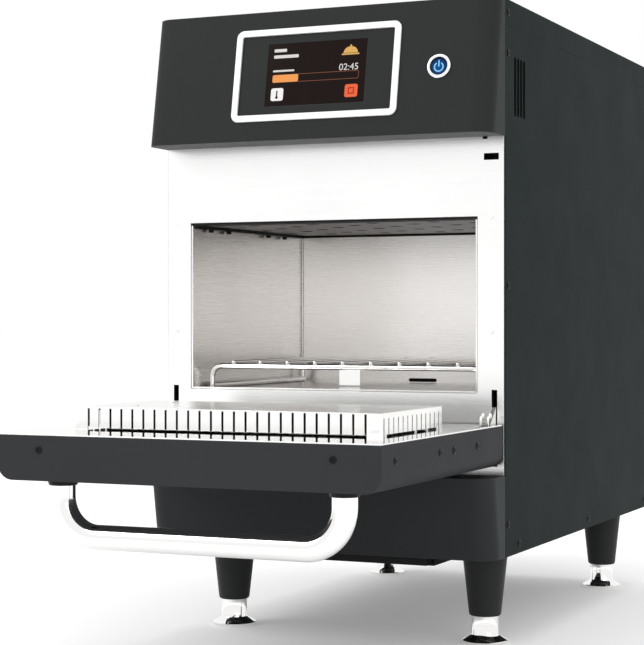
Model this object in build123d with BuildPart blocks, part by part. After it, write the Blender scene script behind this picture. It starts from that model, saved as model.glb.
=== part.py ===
from build123d import *
from math import atan2, cos, sin
import os

os.makedirs("parts", exist_ok=True)

# High-speed oven with its drop-down door open, in millimetres.
# +Z is up and +Y runs to the rear. The origin lies on the floor, under the middle of the open oven's outline.

# Driving dimensions of the cabinet
body_width = 380
body_depth = 594
body_height = 554
leg_height = 98
sheet = 1.5              # casing sheet steel
seam = 0.3               # gap left between loose pieces
top_flange = 26          # how far the top cover comes down the sides
rear_inset = 12          # the rear panel stands this far inside the casing

# Control housing above the door
hood_height = 135
hood_bottom_depth = 50
hood_top_depth = 26
cover_corner = 20        # rounded upright corners of the housing and the lower cover
hood_step = 1.4          # its top below the top cover
cover_wall = 2

# Lower front cover
cover_gap = 8.3          # its top edge below the open door
cover_top_depth = 49
cover_bottom_depth = 35

# Cooking chamber
column_width = 28.5      # stainless front on each side of the opening
opening_width = body_width - 2 * column_width
opening_height = 176.6
floor_lift = 162         # cavity floor above the casing's underside
cavity_depth = 282
ceiling_drop = 2.6       # the jet plate hangs this far below the top of the opening
well_depth = 14          # stirrer well under the floor plate
plenum_height = 36       # air space above the jet plate
jet_front = 18           # front edge of the jet plate, clear of the closed door's choke
ledge_width = 8          # ledges under the floor plate and rails under the jet plate

# Door
door_length = 312.55
door_depth = 42.45
door_top_gap = 1.6
door_edge_radius = 16
inner_plate = 1.3
end_cap_length = 11
pivot_front = 21.8       # hinge pin in front of the front frame
pivot_inset = 14.35      # hinge pin from the door's lower edge and from its inner face
skin_wall = 1.5

# Choke on the door's inner face
choke_side_gap = 5.5     # between the choke and each side of the opening
choke_width = opening_width - 2 * choke_side_gap
choke_height = 21.25
choke_bottom_gap = 21
choke_top_gap = 2.6
choke_sheet = 1.2
finger_gap = 1.8         # from the fingers' ends to the door's inner face
finger_length = choke_height - finger_gap
front_slot_pitch = 11.8
side_slot_pitch = 11.4
side_slot_margin = 7
corner_plate = 14
side_band = 5
choke_slot_width = 2.2

# Handle
handle_tube = 23.2
handle_inset = 48.5      # centre of each leg of the handle from the door's side
handle_span = body_width - 2 * handle_inset
handle_reach = 52.6      # bar centre from the door's outer face
handle_from_end = 35     # bar centre from the door's free end
handle_bend = 37
pad_diameter = 28
pad_thickness = 6

# Legs and feet
leg_inset = 45           # leg centres from the casing's sides
leg_front = 70           # leg centres behind the front frame
leg_rear = body_depth - 81
leg_top_diameter = 48
leg_bottom_diameter = 33
leg_cone = 69
foot_stem = 28
foot_diameter = 47
foot_height = 9
foot_rim = 3.8
foot_thread = 12

# Display and power button
ring_width = 182.6
ring_height = 97.4
ring_band = 6.6
ring_corner = 8
ring_inner_corner = 2
ring_proud = 2.2
screen_width = 109.6
screen_height = 65.8
glass_thickness = 3
face_centre = 68         # centre of the display above the housing's lower edge
display_x = 1.7          # and beside the middle of the housing
button_inset = 54.9
button_drop = 1.1        # below the middle of the display
button_x = body_width / 2 - button_inset
button_bezel = 24.4
button_face = 17.8
button_proud = 1.2

# Rack
rack_side_gap = 7.3      # centre of the side wires from the chamber's walls
rack_width = opening_width - 2 * rack_side_gap
rack_front = 33
rack_rear = 267
rack_wire = 6
rack_rod = 3.5
rack_height = 24         # centre of the top wire above the cavity floor
rack_rods = 9
rod_margin = 26.5        # outermost rods from the side wires
rack_x = 1.6             # the loose rack stands a little beside the middle
rod_pitch = (rack_width - 2 * rod_margin) / (rack_rods - 1)
rack_bend = 11
rack_tab_width = 24      # bright tab welded under the middle rod
rack_tab_depth = 20      # behind the front loop
rack_tab_bend = 12

# Interlock slot, hinge slots and hinges
slot_inset = 14.2
slot_x = body_width / 2 - slot_inset
slot_width = 15.6
slot_height = 6.5
slot_below_hood = 23.1
hinge_inset = 11
hinge_x = body_width / 2 - hinge_inset
hinge_slot_width = 6
hinge_slot_down = 27.8   # the slot's ends below and above the hinge pin
hinge_slot_up = 48.2
arm_thickness = 4.5
channel_inside = 10
channel_wall = 1.5
channel_depth = 29
channel_length = 160
notch_length = 48
pin_radius = 3
running_fit = 0.05

# Air filter under the base
filter_leg_gap = 9       # between the filter and the tops of the legs
filter_length = 250
filter_thickness = 9
filter_front = 12        # its handle edge stands this far in front of the front frame
rail_wall = 1.5

# Screws
head_radius = 3.4
screw_head = 1.1
shank_radius = 1.6
shank_length = 7
side_shank = 4           # short screws through the sides
hole_clearance = 0.1

# Places worked out from the driving dimensions
half = body_width / 2
base_z = leg_height
top_z = base_z + body_height
hood_top = top_z - hood_step
hood_z = hood_top - hood_height
open_reach = pivot_front - pivot_inset + door_length
front_y = -(body_depth - open_reach - screw_head) / 2
rear_y = front_y + body_depth
panel_y = rear_y - rear_inset
floor_z = base_z + floor_lift
opening_top = floor_z + opening_height
ceiling_z = opening_top - ceiling_drop
hinge_y = front_y - pivot_front
pivot_z = hood_z - door_top_gap - door_length + pivot_inset
closed_bottom = pivot_z - pivot_inset
cover_height = pivot_z + pivot_inset - door_depth - cover_gap - base_z
hinge_slot_z = (pivot_z - hinge_slot_down, pivot_z + hinge_slot_up)
frame_lap = 1.1          # the front sheet's edges inside the casing's sides
lap_z = (base_z + cover_height + seam, hood_z - seam)   # where they cover the side panels' edges
leg_x = half - leg_inset
filter_width = 2 * (leg_x - leg_top_diameter / 2 - filter_leg_gap)
lean = atan2(hood_bottom_depth - hood_top_depth, hood_height)


def back(depth):
    """The Y of a depth behind the front frame."""
    return front_y + depth


def door_y(along):
    """The Y of a distance along the open door, from its hinged edge towards its free end."""
    return hinge_y + pivot_inset - along


def door_z(depth):
    """The Z of a depth into the open door, below its inner face."""
    return pivot_z + pivot_inset - depth


def span(width, centre=0):
    return (centre - width / 2, centre + width / 2)


def block(x, y, z, mode=Mode.ADD):
    """A box between the two values given on each axis."""
    with Locations(((x[0] + x[1]) / 2, (y[0] + y[1]) / 2, (z[0] + z[1]) / 2)):
        Box(abs(x[1] - x[0]), abs(y[1] - y[0]), abs(z[1] - z[0]), mode=mode)


def rod(start, direction, radius, length, mode=Mode.ADD):
    """A round bar or a drilled hole from a point along a direction."""
    with BuildSketch(Plane(origin=start, z_dir=direction)) as section:
        Circle(radius)
    extrude(section.sketch, amount=length, mode=mode)


def facing(y):
    """A sketch plane at one depth, seen from the front; extrusions grow to the front."""
    return Plane.XZ.offset(-y)


def screw(place, outward, shank=shank_length, head=screw_head):
    """A pan-head screw whose head stands on the surface at a place."""
    inward = tuple(-value for value in outward)
    rod(place, outward, head_radius, head)
    rod(place, inward, shank_radius, shank)


def screw_hole(place, outward):
    """The clearance hole for such a screw."""
    inward = tuple(-value for value in outward)
    rod(place, inward, shank_radius + hole_clearance, shank_length + seam, mode=Mode.SUBTRACT)


flange_screw = (10.8, top_z - 13)
column_screws = [(10.8, top_z - 53), (10.8, closed_bottom + 166), (10.8, base_z + 32)]
row_screws = [(depth, base_z + 10) for depth in (45, body_depth / 2, body_depth - 47)]
side_screw_places = column_screws + row_screws
vents = 4
vent_pitch = 9.6
vent_width = 7
vent_height = 60
vent_top = top_z - 54.5
vent_depth = 47          # middle of the slots behind the front frame
lip = 12                 # joggled lip behind the top cover's flange

# Side panels: flat sheets with vent slots and a lip that the top cover's flange covers
for side, name in ((-1, "side_panel_left"), (1, "side_panel_right")):
    outer = side * half
    inner = side * (half - sheet)
    flange_z = top_z - top_flange - seam
    with BuildPart() as side_panel:
        block((inner, outer), (front_y, rear_y), (base_z, flange_z))
        block((inner, outer), (front_y, back(sheet + seam)), (lap_z[0] - seam, lap_z[1] + seam),
              mode=Mode.SUBTRACT)
        block((inner - side * sheet, inner), (back(3 * sheet), panel_y - 2 * sheet),
              (flange_z - lip, flange_z + lip))
        for number in range(vents):
            vent_y = back(vent_depth + (number - (vents - 1) / 2) * vent_pitch)
            with BuildSketch(Plane.YZ.offset(outer)):
                with Locations((vent_y, vent_top - vent_height / 2)):
                    SlotOverall(vent_height, vent_width, rotation=90)
            extrude(amount=-side * 2 * sheet, mode=Mode.SUBTRACT)
        for depth, z in side_screw_places + [flange_screw]:
            screw_hole((outer, back(depth), z), (side, 0, 0))
    side_panel.part.label = name
    export_step(side_panel.part, f"parts/{name}.step")

# Top cover: a lid whose side flanges lie in the plane of the side panels
with BuildPart() as top_cover:
    block(span(body_width), (front_y, rear_y), (top_z - sheet, top_z))
    for side in (-1, 1):
        flange = (side * (half - sheet), side * half)
        block(flange, (front_y, rear_y), (top_z - top_flange, top_z - sheet))
        screw_hole((side * half, back(flange_screw[0]), flange_screw[1]), (side, 0, 0))
top_cover.part.label = "top_cover"
export_step(top_cover.part, "parts/top_cover.step")

inlet_radius = 56
inlet_depth = 122        # middle of the air inlet behind the front frame
base_flange = 18

# Chassis base: a tray with upturned flanges and the air inlet over the filter
with BuildPart() as chassis_base:
    block(span(body_width - 2 * sheet), (back(sheet), panel_y - sheet), (base_z, base_z + sheet))
    for side in (-1, 1):
        flange = (side * (half - 2 * sheet), side * (half - sheet))
        block(flange, (back(sheet), panel_y - sheet), (base_z, base_z + base_flange))
        for depth, z in row_screws:
            screw_hole((side * half, back(depth), z), (side, 0, 0))
    rod((0, back(inlet_depth), base_z - 1), (0, 0, 1), inlet_radius, sheet + 2, mode=Mode.SUBTRACT)
chassis_base.part.label = "chassis_base"
export_step(chassis_base.part, "parts/chassis_base.step")

gland_inset = 65
gland_x = gland_inset - half
gland_z = base_z + 52
gland_radius = 13
louvres = 9
louvre_pitch = 14
louvre_length = 90
louvre_width = 5
louvre_base = base_z + 120

# Rear panel with two columns of air outlet slots and the cable entry
with BuildPart() as rear_panel:
    block(span(body_width - 2 * sheet - 2 * seam), (panel_y - sheet, panel_y), (base_z, top_z - sheet - seam))
    for side in (-1, 1):
        for number in range(louvres):
            with BuildSketch(facing(panel_y)):
                with Locations((side * body_width / 5, louvre_base + number * louvre_pitch)):
                    SlotOverall(louvre_length, louvre_width)
            extrude(amount=sheet, mode=Mode.SUBTRACT)
    rod((gland_x, panel_y + 1, gland_z), (0, -1, 0), gland_radius, 2 * sheet + 2, mode=Mode.SUBTRACT)
rear_panel.part.label = "rear_panel"
export_step(rear_panel.part, "parts/rear_panel.step")

# Cable gland: a flanged bush in the rear panel, with its bore
with BuildPart() as cable_gland:
    rod((gland_x, panel_y, gland_z), (0, 1, 0), gland_radius + 4, 3)
    rod((gland_x, panel_y + 3, gland_z), (0, 1, 0), gland_radius, rear_inset - 4)
    rod((gland_x, panel_y, gland_z), (0, -1, 0), gland_radius - seam, 12)
    rod((gland_x, panel_y - 12, gland_z), (0, 1, 0), 5.5, rear_inset + 12, mode=Mode.SUBTRACT)
cable_gland.part.label = "cable_gland"
export_step(cable_gland.part, "parts/cable_gland.step")

slot_z = hood_z - slot_below_hood + slot_height / 2
peg_hole_width = 5       # small hole for the housing's peg, half hidden by its lower edge
peg_hole_height = 4.4
peg_hole_x = half - 20.7
return_flange = 3
frame_top = hood_z + 26
frame_screw_x = half - 13
frame_screw_drop = 2.6
frame_screw_pitch = 113
frame_screw_z = (opening_top - frame_screw_drop, opening_top - frame_screw_drop - frame_screw_pitch)
frame_screws = [(side * frame_screw_x, z) for side in (-1, 1) for z in frame_screw_z]

# Front frame: one stainless sheet with the oven opening, the hinge slots and the interlock slot
with BuildPart() as front_frame:
    block(span(body_width - 2 * sheet - 2 * seam), (front_y, back(sheet)), (base_z + sheet, frame_top))
    block(span(opening_width), (front_y, back(sheet)), (floor_z, opening_top), mode=Mode.SUBTRACT)
    for side in (-1, 1):
        wall = (side * opening_width / 2, side * (opening_width / 2 + sheet))
        block(wall, (back(sheet), back(return_flange)), (floor_z - sheet, opening_top + sheet))
        block((side * (half - sheet - 2 * seam), side * (half - frame_lap)), (front_y, back(sheet)), lap_z)
        hinge_slot = span(hinge_slot_width, side * hinge_x)
        block(hinge_slot, (front_y, back(sheet)), hinge_slot_z, mode=Mode.SUBTRACT)
    block(span(opening_width), (back(sheet), back(return_flange)), (floor_z - sheet, floor_z))
    block(span(opening_width), (back(sheet), back(return_flange)), (opening_top, opening_top + sheet))
    block(span(slot_width, slot_x), (front_y, back(sheet)), span(slot_height, slot_z), mode=Mode.SUBTRACT)
    block(span(peg_hole_width, peg_hole_x), (front_y, back(sheet)), span(peg_hole_height, hood_z),
          mode=Mode.SUBTRACT)
    for x, z in frame_screws:
        screw_hole((x, front_y, z), (0, -1, 0))
front_frame.part.label = "front_frame"
export_step(front_frame.part, "parts/front_frame.step")

tiny_head_radius = 2.2
tiny_head_height = 0.6

# Casing screws: those of the two sides and the four small ones of the front frame
with BuildPart() as casing_screws:
    for side in (-1, 1):
        for depth, z in side_screw_places + [flange_screw]:
            screw((side * half, back(depth), z), (side, 0, 0), shank=side_shank)
    for x, z in frame_screws:
        rod((x, front_y, z), (0, -1, 0), tiny_head_radius, tiny_head_height)
        rod((x, front_y, z), (0, 1, 0), shank_radius, shank_length)
casing_screws.part.label = "casing_screws"
export_step(casing_screws.part, "parts/casing_screws.step")


def rounded_cover(z_low, z_high, depth_low, depth_high):
    """A leaning front cover, hollow and open to the rear, made of the same wall all round."""
    slope = (depth_high - depth_low) / (z_high - z_low)
    for inset, mode in ((0, Mode.ADD), (cover_wall, Mode.SUBTRACT)):
        outlines = []
        for z in (z_low + inset, z_high - inset):
            depth = depth_low + slope * (z - z_low) - inset
            rear = 1 if inset else 0
            with BuildSketch(Plane.XY.offset(z)) as outline:
                with Locations((0, front_y - depth / 2 + rear / 2)):
                    Rectangle(body_width - 2 * inset, depth + rear)
                fillet(outline.vertices().group_by(Axis.Y)[0], min(cover_corner - inset, depth - 0.5))
            outlines.append(outline.sketch)
        loft(outlines, mode=mode)


# The leaning front face of the control housing carries the display and the button
face_y = front_y - hood_bottom_depth + (hood_bottom_depth - hood_top_depth) * face_centre / hood_height
hood_face = Plane(origin=(0, face_y, hood_z + face_centre), x_dir=(1, 0, 0), z_dir=(0, -cos(lean), sin(lean)))
barrel_radius = button_bezel / 2 - 1.2
fascia_clearance = 0.4


def on_face(depth):
    """A plane parallel to the housing's face, this far in front of it."""
    return hood_face.offset(depth)


# Control housing
with BuildPart() as control_housing:
    rounded_cover(hood_z, hood_top, hood_bottom_depth, hood_top_depth)
    with BuildSketch(on_face(1)):
        with Locations((display_x, 0)):
            Rectangle(screen_width + fascia_clearance, screen_height + fascia_clearance)
        with Locations((button_x, -button_drop)):
            Circle(barrel_radius + seam)
    extrude(amount=-(cover_wall + 2), mode=Mode.SUBTRACT)
control_housing.part.label = "control_housing"
export_step(control_housing.part, "parts/control_housing.step")

# Display ring: a bright raised frame around the screen
with BuildPart() as display_ring:
    with BuildSketch(on_face(0)):
        with Locations((display_x, 0)):
            RectangleRounded(ring_width, ring_height, ring_corner)
            RectangleRounded(ring_width - 2 * ring_band, ring_height - 2 * ring_band, ring_inner_corner,
                             mode=Mode.SUBTRACT)
    extrude(amount=ring_proud)
    fillet(display_ring.faces().sort_by(Axis.Y)[0].outer_wire().edges(), ring_proud / 3)
display_ring.part.label = "display_ring"
export_step(display_ring.part, "parts/display_ring.step")

# Display glass, flush in the housing, and the display module behind it
with BuildPart() as display_glass:
    with BuildSketch(on_face(0)):
        with Locations((display_x, 0)):
            Rectangle(screen_width, screen_height)
    extrude(amount=-glass_thickness)
display_glass.part.label = "display_glass"
export_step(display_glass.part, "parts/display_glass.step")

module_border = 6
module_thickness = 9
board_thickness = 1.6
board_gap = 6

# The display module carries the control board on four posts, with its larger components
board_depth = glass_thickness + module_thickness + board_gap
with BuildPart() as display_module:
    with BuildSketch(on_face(-glass_thickness)):
        with Locations((display_x, 0)):
            Rectangle(screen_width + 2 * module_border, screen_height + 2 * module_border)
    extrude(amount=-module_thickness)
    with BuildSketch(on_face(-board_depth)):
        with Locations((display_x, 0)):
            Rectangle(screen_width + 2 * module_border, screen_height + 2 * module_border)
    extrude(amount=-board_thickness)
    with BuildSketch(on_face(-board_depth)):
        with Locations((display_x, 0)):
            with GridLocations(screen_width, screen_height, 2, 2):
                Circle(3)
    extrude(amount=board_gap)
    with BuildSketch(on_face(-board_depth - board_thickness)):
        Rectangle(18, 18)
        with GridLocations(64, 40, 2, 2):
            Rectangle(12, 8)
    extrude(amount=-3)
display_module.part.label = "display_module"
export_step(display_module.part, "parts/display_module.step")

button_play = 0.35       # gap between the button and its bezel
button_thickness = 5
bezel_proud = 2
bezel_depth = 7
switch_length = 15
plunger_radius = 3

# Power button: the bezel ring in the housing, the lit cap that travels in it and the switch behind
with BuildPart() as power_button_bezel:
    with BuildSketch(on_face(0)):
        with Locations((button_x, -button_drop)):
            Circle(button_bezel / 2)
    extrude(amount=bezel_proud)
    fillet(power_button_bezel.edges().sort_by(Axis.Y)[0], 0.8)
    with BuildSketch(on_face(0)):
        with Locations((button_x, -button_drop)):
            Circle(barrel_radius)
    extrude(amount=-bezel_depth)
    with BuildSketch(on_face(bezel_proud)):
        with Locations((button_x, -button_drop)):
            Circle(button_face / 2 + button_play)
    extrude(amount=-bezel_proud - bezel_depth, mode=Mode.SUBTRACT)
power_button_bezel.part.label = "power_button_bezel"
export_step(power_button_bezel.part, "parts/power_button_bezel.step")

with BuildPart() as power_button:
    with BuildSketch(on_face(button_proud)):
        with Locations((button_x, -button_drop)):
            Circle(button_face / 2)
    extrude(amount=-button_thickness)
    with BuildSketch(on_face(button_proud - button_thickness)):
        with Locations((button_x, -button_drop)):
            Circle(plunger_radius)
    extrude(amount=-9)
power_button.part.label = "power_button"
export_step(power_button.part, "parts/power_button.step")

with BuildPart() as power_switch:
    with BuildSketch(on_face(-bezel_depth)):
        with Locations((button_x, -button_drop)):
            Circle(barrel_radius)
    extrude(amount=-switch_length)
    with BuildSketch(on_face(-bezel_depth)):
        with Locations((button_x, -button_drop)):
            Circle(plunger_radius + 0.3)
    extrude(amount=-switch_length + 4, mode=Mode.SUBTRACT)
power_switch.part.label = "power_switch"
export_step(power_switch.part, "parts/power_switch.step")

# Lower front cover
with BuildPart() as lower_front_cover:
    rounded_cover(base_z, base_z + cover_height, cover_bottom_depth, cover_top_depth)
lower_front_cover.part.label = "lower_front_cover"
export_step(lower_front_cover.part, "parts/lower_front_cover.step")

# Cooking chamber, seen from the front: liner inside width, heights and depths
liner_y = back(return_flange + seam)
liner_rear = back(cavity_depth)
well_z = floor_z - sheet - well_depth
plenum_z = ceiling_z + sheet + plenum_height
stirrer_hole = 8
return_width = 35
return_height = 4
return_x = -5.6          # the air's way back lies a little beside the middle
return_z = (floor_z + 1, floor_z + 1 + return_height)
outlet_width = 200
outlet_z = (ceiling_z + 2 * sheet, plenum_z - 2)
waveguide_width = 92
waveguide_y = back(100)

# Cavity liner: a steel box open to the front, with ledges for the floor plate
with BuildPart() as cavity_liner:
    block(span(opening_width + 2 * sheet), (liner_y, liner_rear + sheet), (well_z - sheet, plenum_z + sheet))
    block(span(opening_width), (liner_y, liner_rear), (well_z, plenum_z), mode=Mode.SUBTRACT)
    for side in (-1, 1):
        ledge = (side * (opening_width / 2 - ledge_width), side * opening_width / 2)
        block(ledge, (liner_y, liner_rear), (floor_z - 2 * sheet - seam, floor_z - sheet - seam))
    block(span(outlet_width), (liner_rear, liner_rear + sheet), outlet_z, mode=Mode.SUBTRACT)
    with BuildSketch(facing(liner_rear + sheet)):
        with Locations((return_x, sum(return_z) / 2)):
            SlotOverall(return_width, return_height)
    extrude(amount=sheet, mode=Mode.SUBTRACT)
    rod((0, back(cavity_depth / 2), well_z + 1), (0, 0, -1), stirrer_hole, sheet + 2, mode=Mode.SUBTRACT)
cavity_liner.part.label = "cavity_liner"
export_step(cavity_liner.part, "parts/cavity_liner.step")

# Floor plate over the stirrer well
with BuildPart() as floor_plate:
    block(span(opening_width - 2 * seam), (liner_y + seam, liner_rear - seam), (floor_z - sheet, floor_z))
floor_plate.part.label = "floor_plate"
export_step(floor_plate.part, "parts/floor_plate.step")

jet_hole = 14
jet_pitch_x = 68         # in a row; the next row stands half of it beside
jet_pitch_y = 33.5
jet_first = 33           # first row behind the front frame
jet_margin = 22          # plain edge around the holes
jet_rows = int((cavity_depth - jet_margin - jet_first) / jet_pitch_y) + 1

# Top jet plate: staggered air holes, with a flange that closes the plenum to the front
with BuildPart() as top_jet_plate:
    jet_x = span(opening_width - 2 * seam)
    block(jet_x, (back(jet_front), liner_rear - seam), (ceiling_z, ceiling_z + sheet))
    block(jet_x, (back(jet_front), back(jet_front) + sheet), (ceiling_z + sheet, plenum_z - seam))
    with BuildSketch(Plane.XY.offset(ceiling_z)):
        for row in range(jet_rows):
            room = (opening_width - 2 * jet_margin) / jet_pitch_x
            columns = 2 * int(room / 2) + 1 if row % 2 else 2 * int((room + 1) / 2)
            with Locations((0, back(jet_first + row * jet_pitch_y))):
                with GridLocations(jet_pitch_x, 1, columns, 1):
                    Circle(jet_hole / 2)
    extrude(amount=sheet, mode=Mode.SUBTRACT)
top_jet_plate.part.label = "top_jet_plate"
export_step(top_jet_plate.part, "parts/top_jet_plate.step")

# The dark rails that the jet plate slides in on, and the one that it meets at the rear
rail_height = 3
rear_rail_height = 2.2
with BuildPart() as jet_plate_rails:
    for side in (-1, 1):
        rail = (side * (opening_width / 2 - ledge_width), side * (opening_width / 2 - seam))
        block(rail, (back(jet_front), back(cavity_depth - 12)), (ceiling_z - rail_height, ceiling_z))
    block(span(opening_width - 2 * seam), (liner_rear - ledge_width, liner_rear - seam),
          (ceiling_z - rear_rail_height, ceiling_z))
jet_plate_rails.part.label = "jet_plate_rails"
export_step(jet_plate_rails.part, "parts/jet_plate_rails.step")

blanket = 9
blanket_top = 18
blanket_y = back(45)

# Insulation blanket over the sides and the top of the liner
with BuildPart() as cavity_insulation:
    liner_half = opening_width / 2 + sheet + seam
    liner_top = plenum_z + sheet + seam
    block(span(2 * (liner_half + blanket)), (blanket_y, liner_rear), (well_z, liner_top + blanket_top))
    block(span(2 * liner_half), (blanket_y, liner_rear), (well_z, liner_top), mode=Mode.SUBTRACT)
cavity_insulation.part.label = "cavity_insulation"
export_step(cavity_insulation.part, "parts/cavity_insulation.step")

# Wire rack: two bent loops, side rails between their feet, thin rods across the top and a bent tab
wire = rack_wire / 2
rack_top_z = floor_z + rack_height
rack_foot_z = floor_z + seam
rail_z = floor_z + seam + wire
rack_left, rack_right = span(rack_width, rack_x)
with BuildPart() as wire_rack:
    for depth in (rack_front, rack_rear):
        with BuildLine(facing(back(depth))) as loop:
            FilletPolyline((rack_left, rack_foot_z), (rack_left, rack_top_z), (rack_right, rack_top_z),
                           (rack_right, rack_foot_z), radius=rack_bend)
        with BuildSketch(Plane(origin=loop.line @ 0, z_dir=loop.line % 0)):
            Circle(wire)
        sweep(path=loop.line)
    for x in (rack_left, rack_right):
        rod((x, back(rack_front), rail_z), (0, 1, 0), wire, rack_rear - rack_front)
    for number in range(rack_rods):
        x = rack_x + (number - (rack_rods - 1) / 2) * rod_pitch
        z = rack_top_z + wire + rack_rod / 2 - seam
        rod((x, back(rack_front) - wire, z), (0, 1, 0), rack_rod / 2, rack_rear - rack_front + rack_wire + 3)
    tab_top = rack_top_z + wire
    tab_y = back(rack_front + rack_tab_depth)
    block(span(rack_tab_width), (tab_y, tab_y + sheet), (rack_foot_z, tab_top))
    block(span(rack_tab_width), (tab_y, tab_y + rack_tab_bend), (tab_top - sheet, tab_top))
wire_rack.part.label = "wire_rack"
export_step(wire_rack.part, "parts/wire_rack.step")

# Hinge arms: each hooks through the front frame and carries a pivot pin
eye_radius = 8
arm_top = pivot_z + 31
arm_low = pivot_z - 12
arm_tail = 22
with BuildPart() as hinge_arms:
    for side in (-1, 1):
        with BuildSketch(Plane.YZ.offset(side * hinge_x - arm_thickness / 2)):
            with Locations((hinge_y, pivot_z)):
                Circle(eye_radius)
            with BuildLine():
                Polyline((hinge_y - eye_radius * 0.7, pivot_z + eye_radius * 0.7), (front_y - 1, arm_top),
                         (back(arm_tail), arm_top), (back(arm_tail), arm_low), (front_y, arm_low),
                         (hinge_y, pivot_z - eye_radius), close=True)
            make_face()
        extrude(amount=arm_thickness)
        rod((side * hinge_x - arm_thickness, hinge_y, pivot_z), (1, 0, 0), pin_radius + running_fit,
            2 * arm_thickness, mode=Mode.SUBTRACT)
hinge_arms.part.label = "hinge_arms"
export_step(hinge_arms.part, "parts/hinge_arms.step")

pin_length = channel_inside + 2 * channel_wall + 1
with BuildPart() as hinge_pins:
    for side in (-1, 1):
        rod((side * hinge_x - pin_length / 2, hinge_y, pivot_z), (1, 0, 0), pin_radius, pin_length)
hinge_pins.part.label = "hinge_pins"
export_step(hinge_pins.part, "parts/hinge_pins.step")

# Receivers behind the front frame that clasp the arms
receiver_wall = 2
receiver_lip = 6
with BuildPart() as hinge_receivers:
    for side in (-1, 1):
        outside = span(arm_thickness + 2 * seam + 2 * receiver_wall, side * hinge_x)
        inside = span(arm_thickness + 2 * seam, side * hinge_x)
        receiver_y = back(return_flange + seam)
        block(outside, (receiver_y, back(arm_tail) + seam + receiver_wall),
              (hinge_slot_z[0] - receiver_lip, hinge_slot_z[1] + receiver_lip))
        block(inside, (receiver_y, back(arm_tail) + seam), hinge_slot_z, mode=Mode.SUBTRACT)
hinge_receivers.part.label = "hinge_receivers"
export_step(hinge_receivers.part, "parts/hinge_receivers.step")

# Interlock switch behind its slot, on a bracket from the front frame
tongue_reach = 17
switch_y = back(tongue_reach + 2)
with BuildPart() as interlock_switch:
    block(span(slot_width + 6, slot_x), (switch_y, switch_y + 22), span(26, slot_z - 2))
    block(span(slot_width / 3, slot_x + slot_width / 4), (switch_y - 1, switch_y), span(slot_height, slot_z))
    block(span(slot_width + 4, slot_x), (back(sheet + seam), switch_y), (slot_z - 15, slot_z - 13))
interlock_switch.part.label = "interlock_switch"
export_step(interlock_switch.part, "parts/interlock_switch.step")


def door_profile(inset, depth_high):
    """The door's cross-section: straight sides and two rounded outer edges, kept this far inside the skin."""
    low = door_z(door_depth - inset)
    high = door_z(depth_high)
    with BuildSketch(facing(door_y(0))) as outline:
        with Locations((0, (low + high) / 2)):
            Rectangle(body_width - 2 * inset, high - low)
        fillet(outline.vertices().group_by(Axis.Y)[0], door_edge_radius - inset)
    return outline.sketch


skin_length = door_length - end_cap_length - seam
notch = [span(channel_inside, side * hinge_x) for side in (-1, 1)]
door_side_screws = [74.4, 138.4, 174.4, door_length - 30]
door_screw_depth = 16.15
cap_screw_x = half - 44.5
choke_screw_head = 0.8

# Door outer skin: a painted shell, open at the free end and on the inner face
with BuildPart() as door_outer_skin:
    extrude(door_profile(0, inner_plate), amount=skin_length)
    inside = door_profile(skin_wall, 0).moved(Location((0, -skin_wall, 0)))
    extrude(inside, amount=door_length, mode=Mode.SUBTRACT)
    for x in notch:
        block(x, (door_y(-1), door_y(skin_wall + 1)), (door_z(0), door_z(inner_plate + channel_depth)),
              mode=Mode.SUBTRACT)
    for side in (-1, 1):
        for along in door_side_screws:
            screw_hole((side * half, door_y(along), door_z(door_screw_depth)), (side, 0, 0))
door_outer_skin.part.label = "door_outer_skin"
export_step(door_outer_skin.part, "parts/door_outer_skin.step")

# End cap: the same section, closed at the door's free end
cap_wall = 2
with BuildPart() as door_end_cap:
    extrude(door_profile(0, inner_plate).moved(Location((0, -door_length + end_cap_length, 0))),
            amount=end_cap_length)
    extrude(door_profile(cap_wall, 0).moved(Location((0, -door_length + end_cap_length + 1, 0))),
            amount=end_cap_length - cap_wall + 1, mode=Mode.SUBTRACT)
    for side in (-1, 1):
        screw_hole((side * cap_screw_x, door_y(door_length), door_z(pivot_inset)), (0, -1, 0))
door_end_cap.part.label = "door_end_cap"
export_step(door_end_cap.part, "parts/door_end_cap.step")

choke_low = floor_z + choke_bottom_gap - closed_bottom
choke_high = opening_top - choke_top_gap - closed_bottom
choke_y = (door_y(choke_high), door_y(choke_low))
front_slots = int((choke_width - 2 * corner_plate) / front_slot_pitch) + 1
side_slots = int((choke_high - choke_low - 2 * side_slot_margin) / side_slot_pitch) + 1
pan_inset = 22
choke_screw_x = choke_width / 2 - 41
choke_screw_along = (choke_low + 42, choke_high - 42)
choke_screws = [(side * choke_screw_x, along) for side in (-1, 1) for along in choke_screw_along]

# Polished inner plate with a notch for each hinge arm and a pressed pan that carries the choke cover
plate_margin = 0.8       # the plate lies on the rims of the skin
with BuildPart() as door_inner_plate:
    block(span(body_width - 2 * plate_margin), (door_y(seam), door_y(door_length - plate_margin)),
          (door_z(inner_plate), door_z(0)))
    for x in notch:
        block(x, (door_y(-1), door_y(notch_length)), (door_z(inner_plate), door_z(0)), mode=Mode.SUBTRACT)
    pan_x = span(choke_width - 2 * pan_inset)
    pan_y = (choke_y[0] + pan_inset, choke_y[1] - pan_inset)
    pan_top = choke_height - choke_sheet
    block(pan_x, pan_y, (door_z(inner_plate), door_z(-pan_top)))
    block((pan_x[0] + inner_plate, pan_x[1] - inner_plate), (pan_y[0] + inner_plate, pan_y[1] - inner_plate),
          (door_z(inner_plate), door_z(-pan_top + inner_plate)), mode=Mode.SUBTRACT)
    for x, along in choke_screws:
        screw_hole((x, door_y(along), door_z(-choke_height)), (0, 0, 1))
door_inner_plate.part.label = "door_inner_plate"
export_step(door_inner_plate.part, "parts/door_inner_plate.step")

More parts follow.
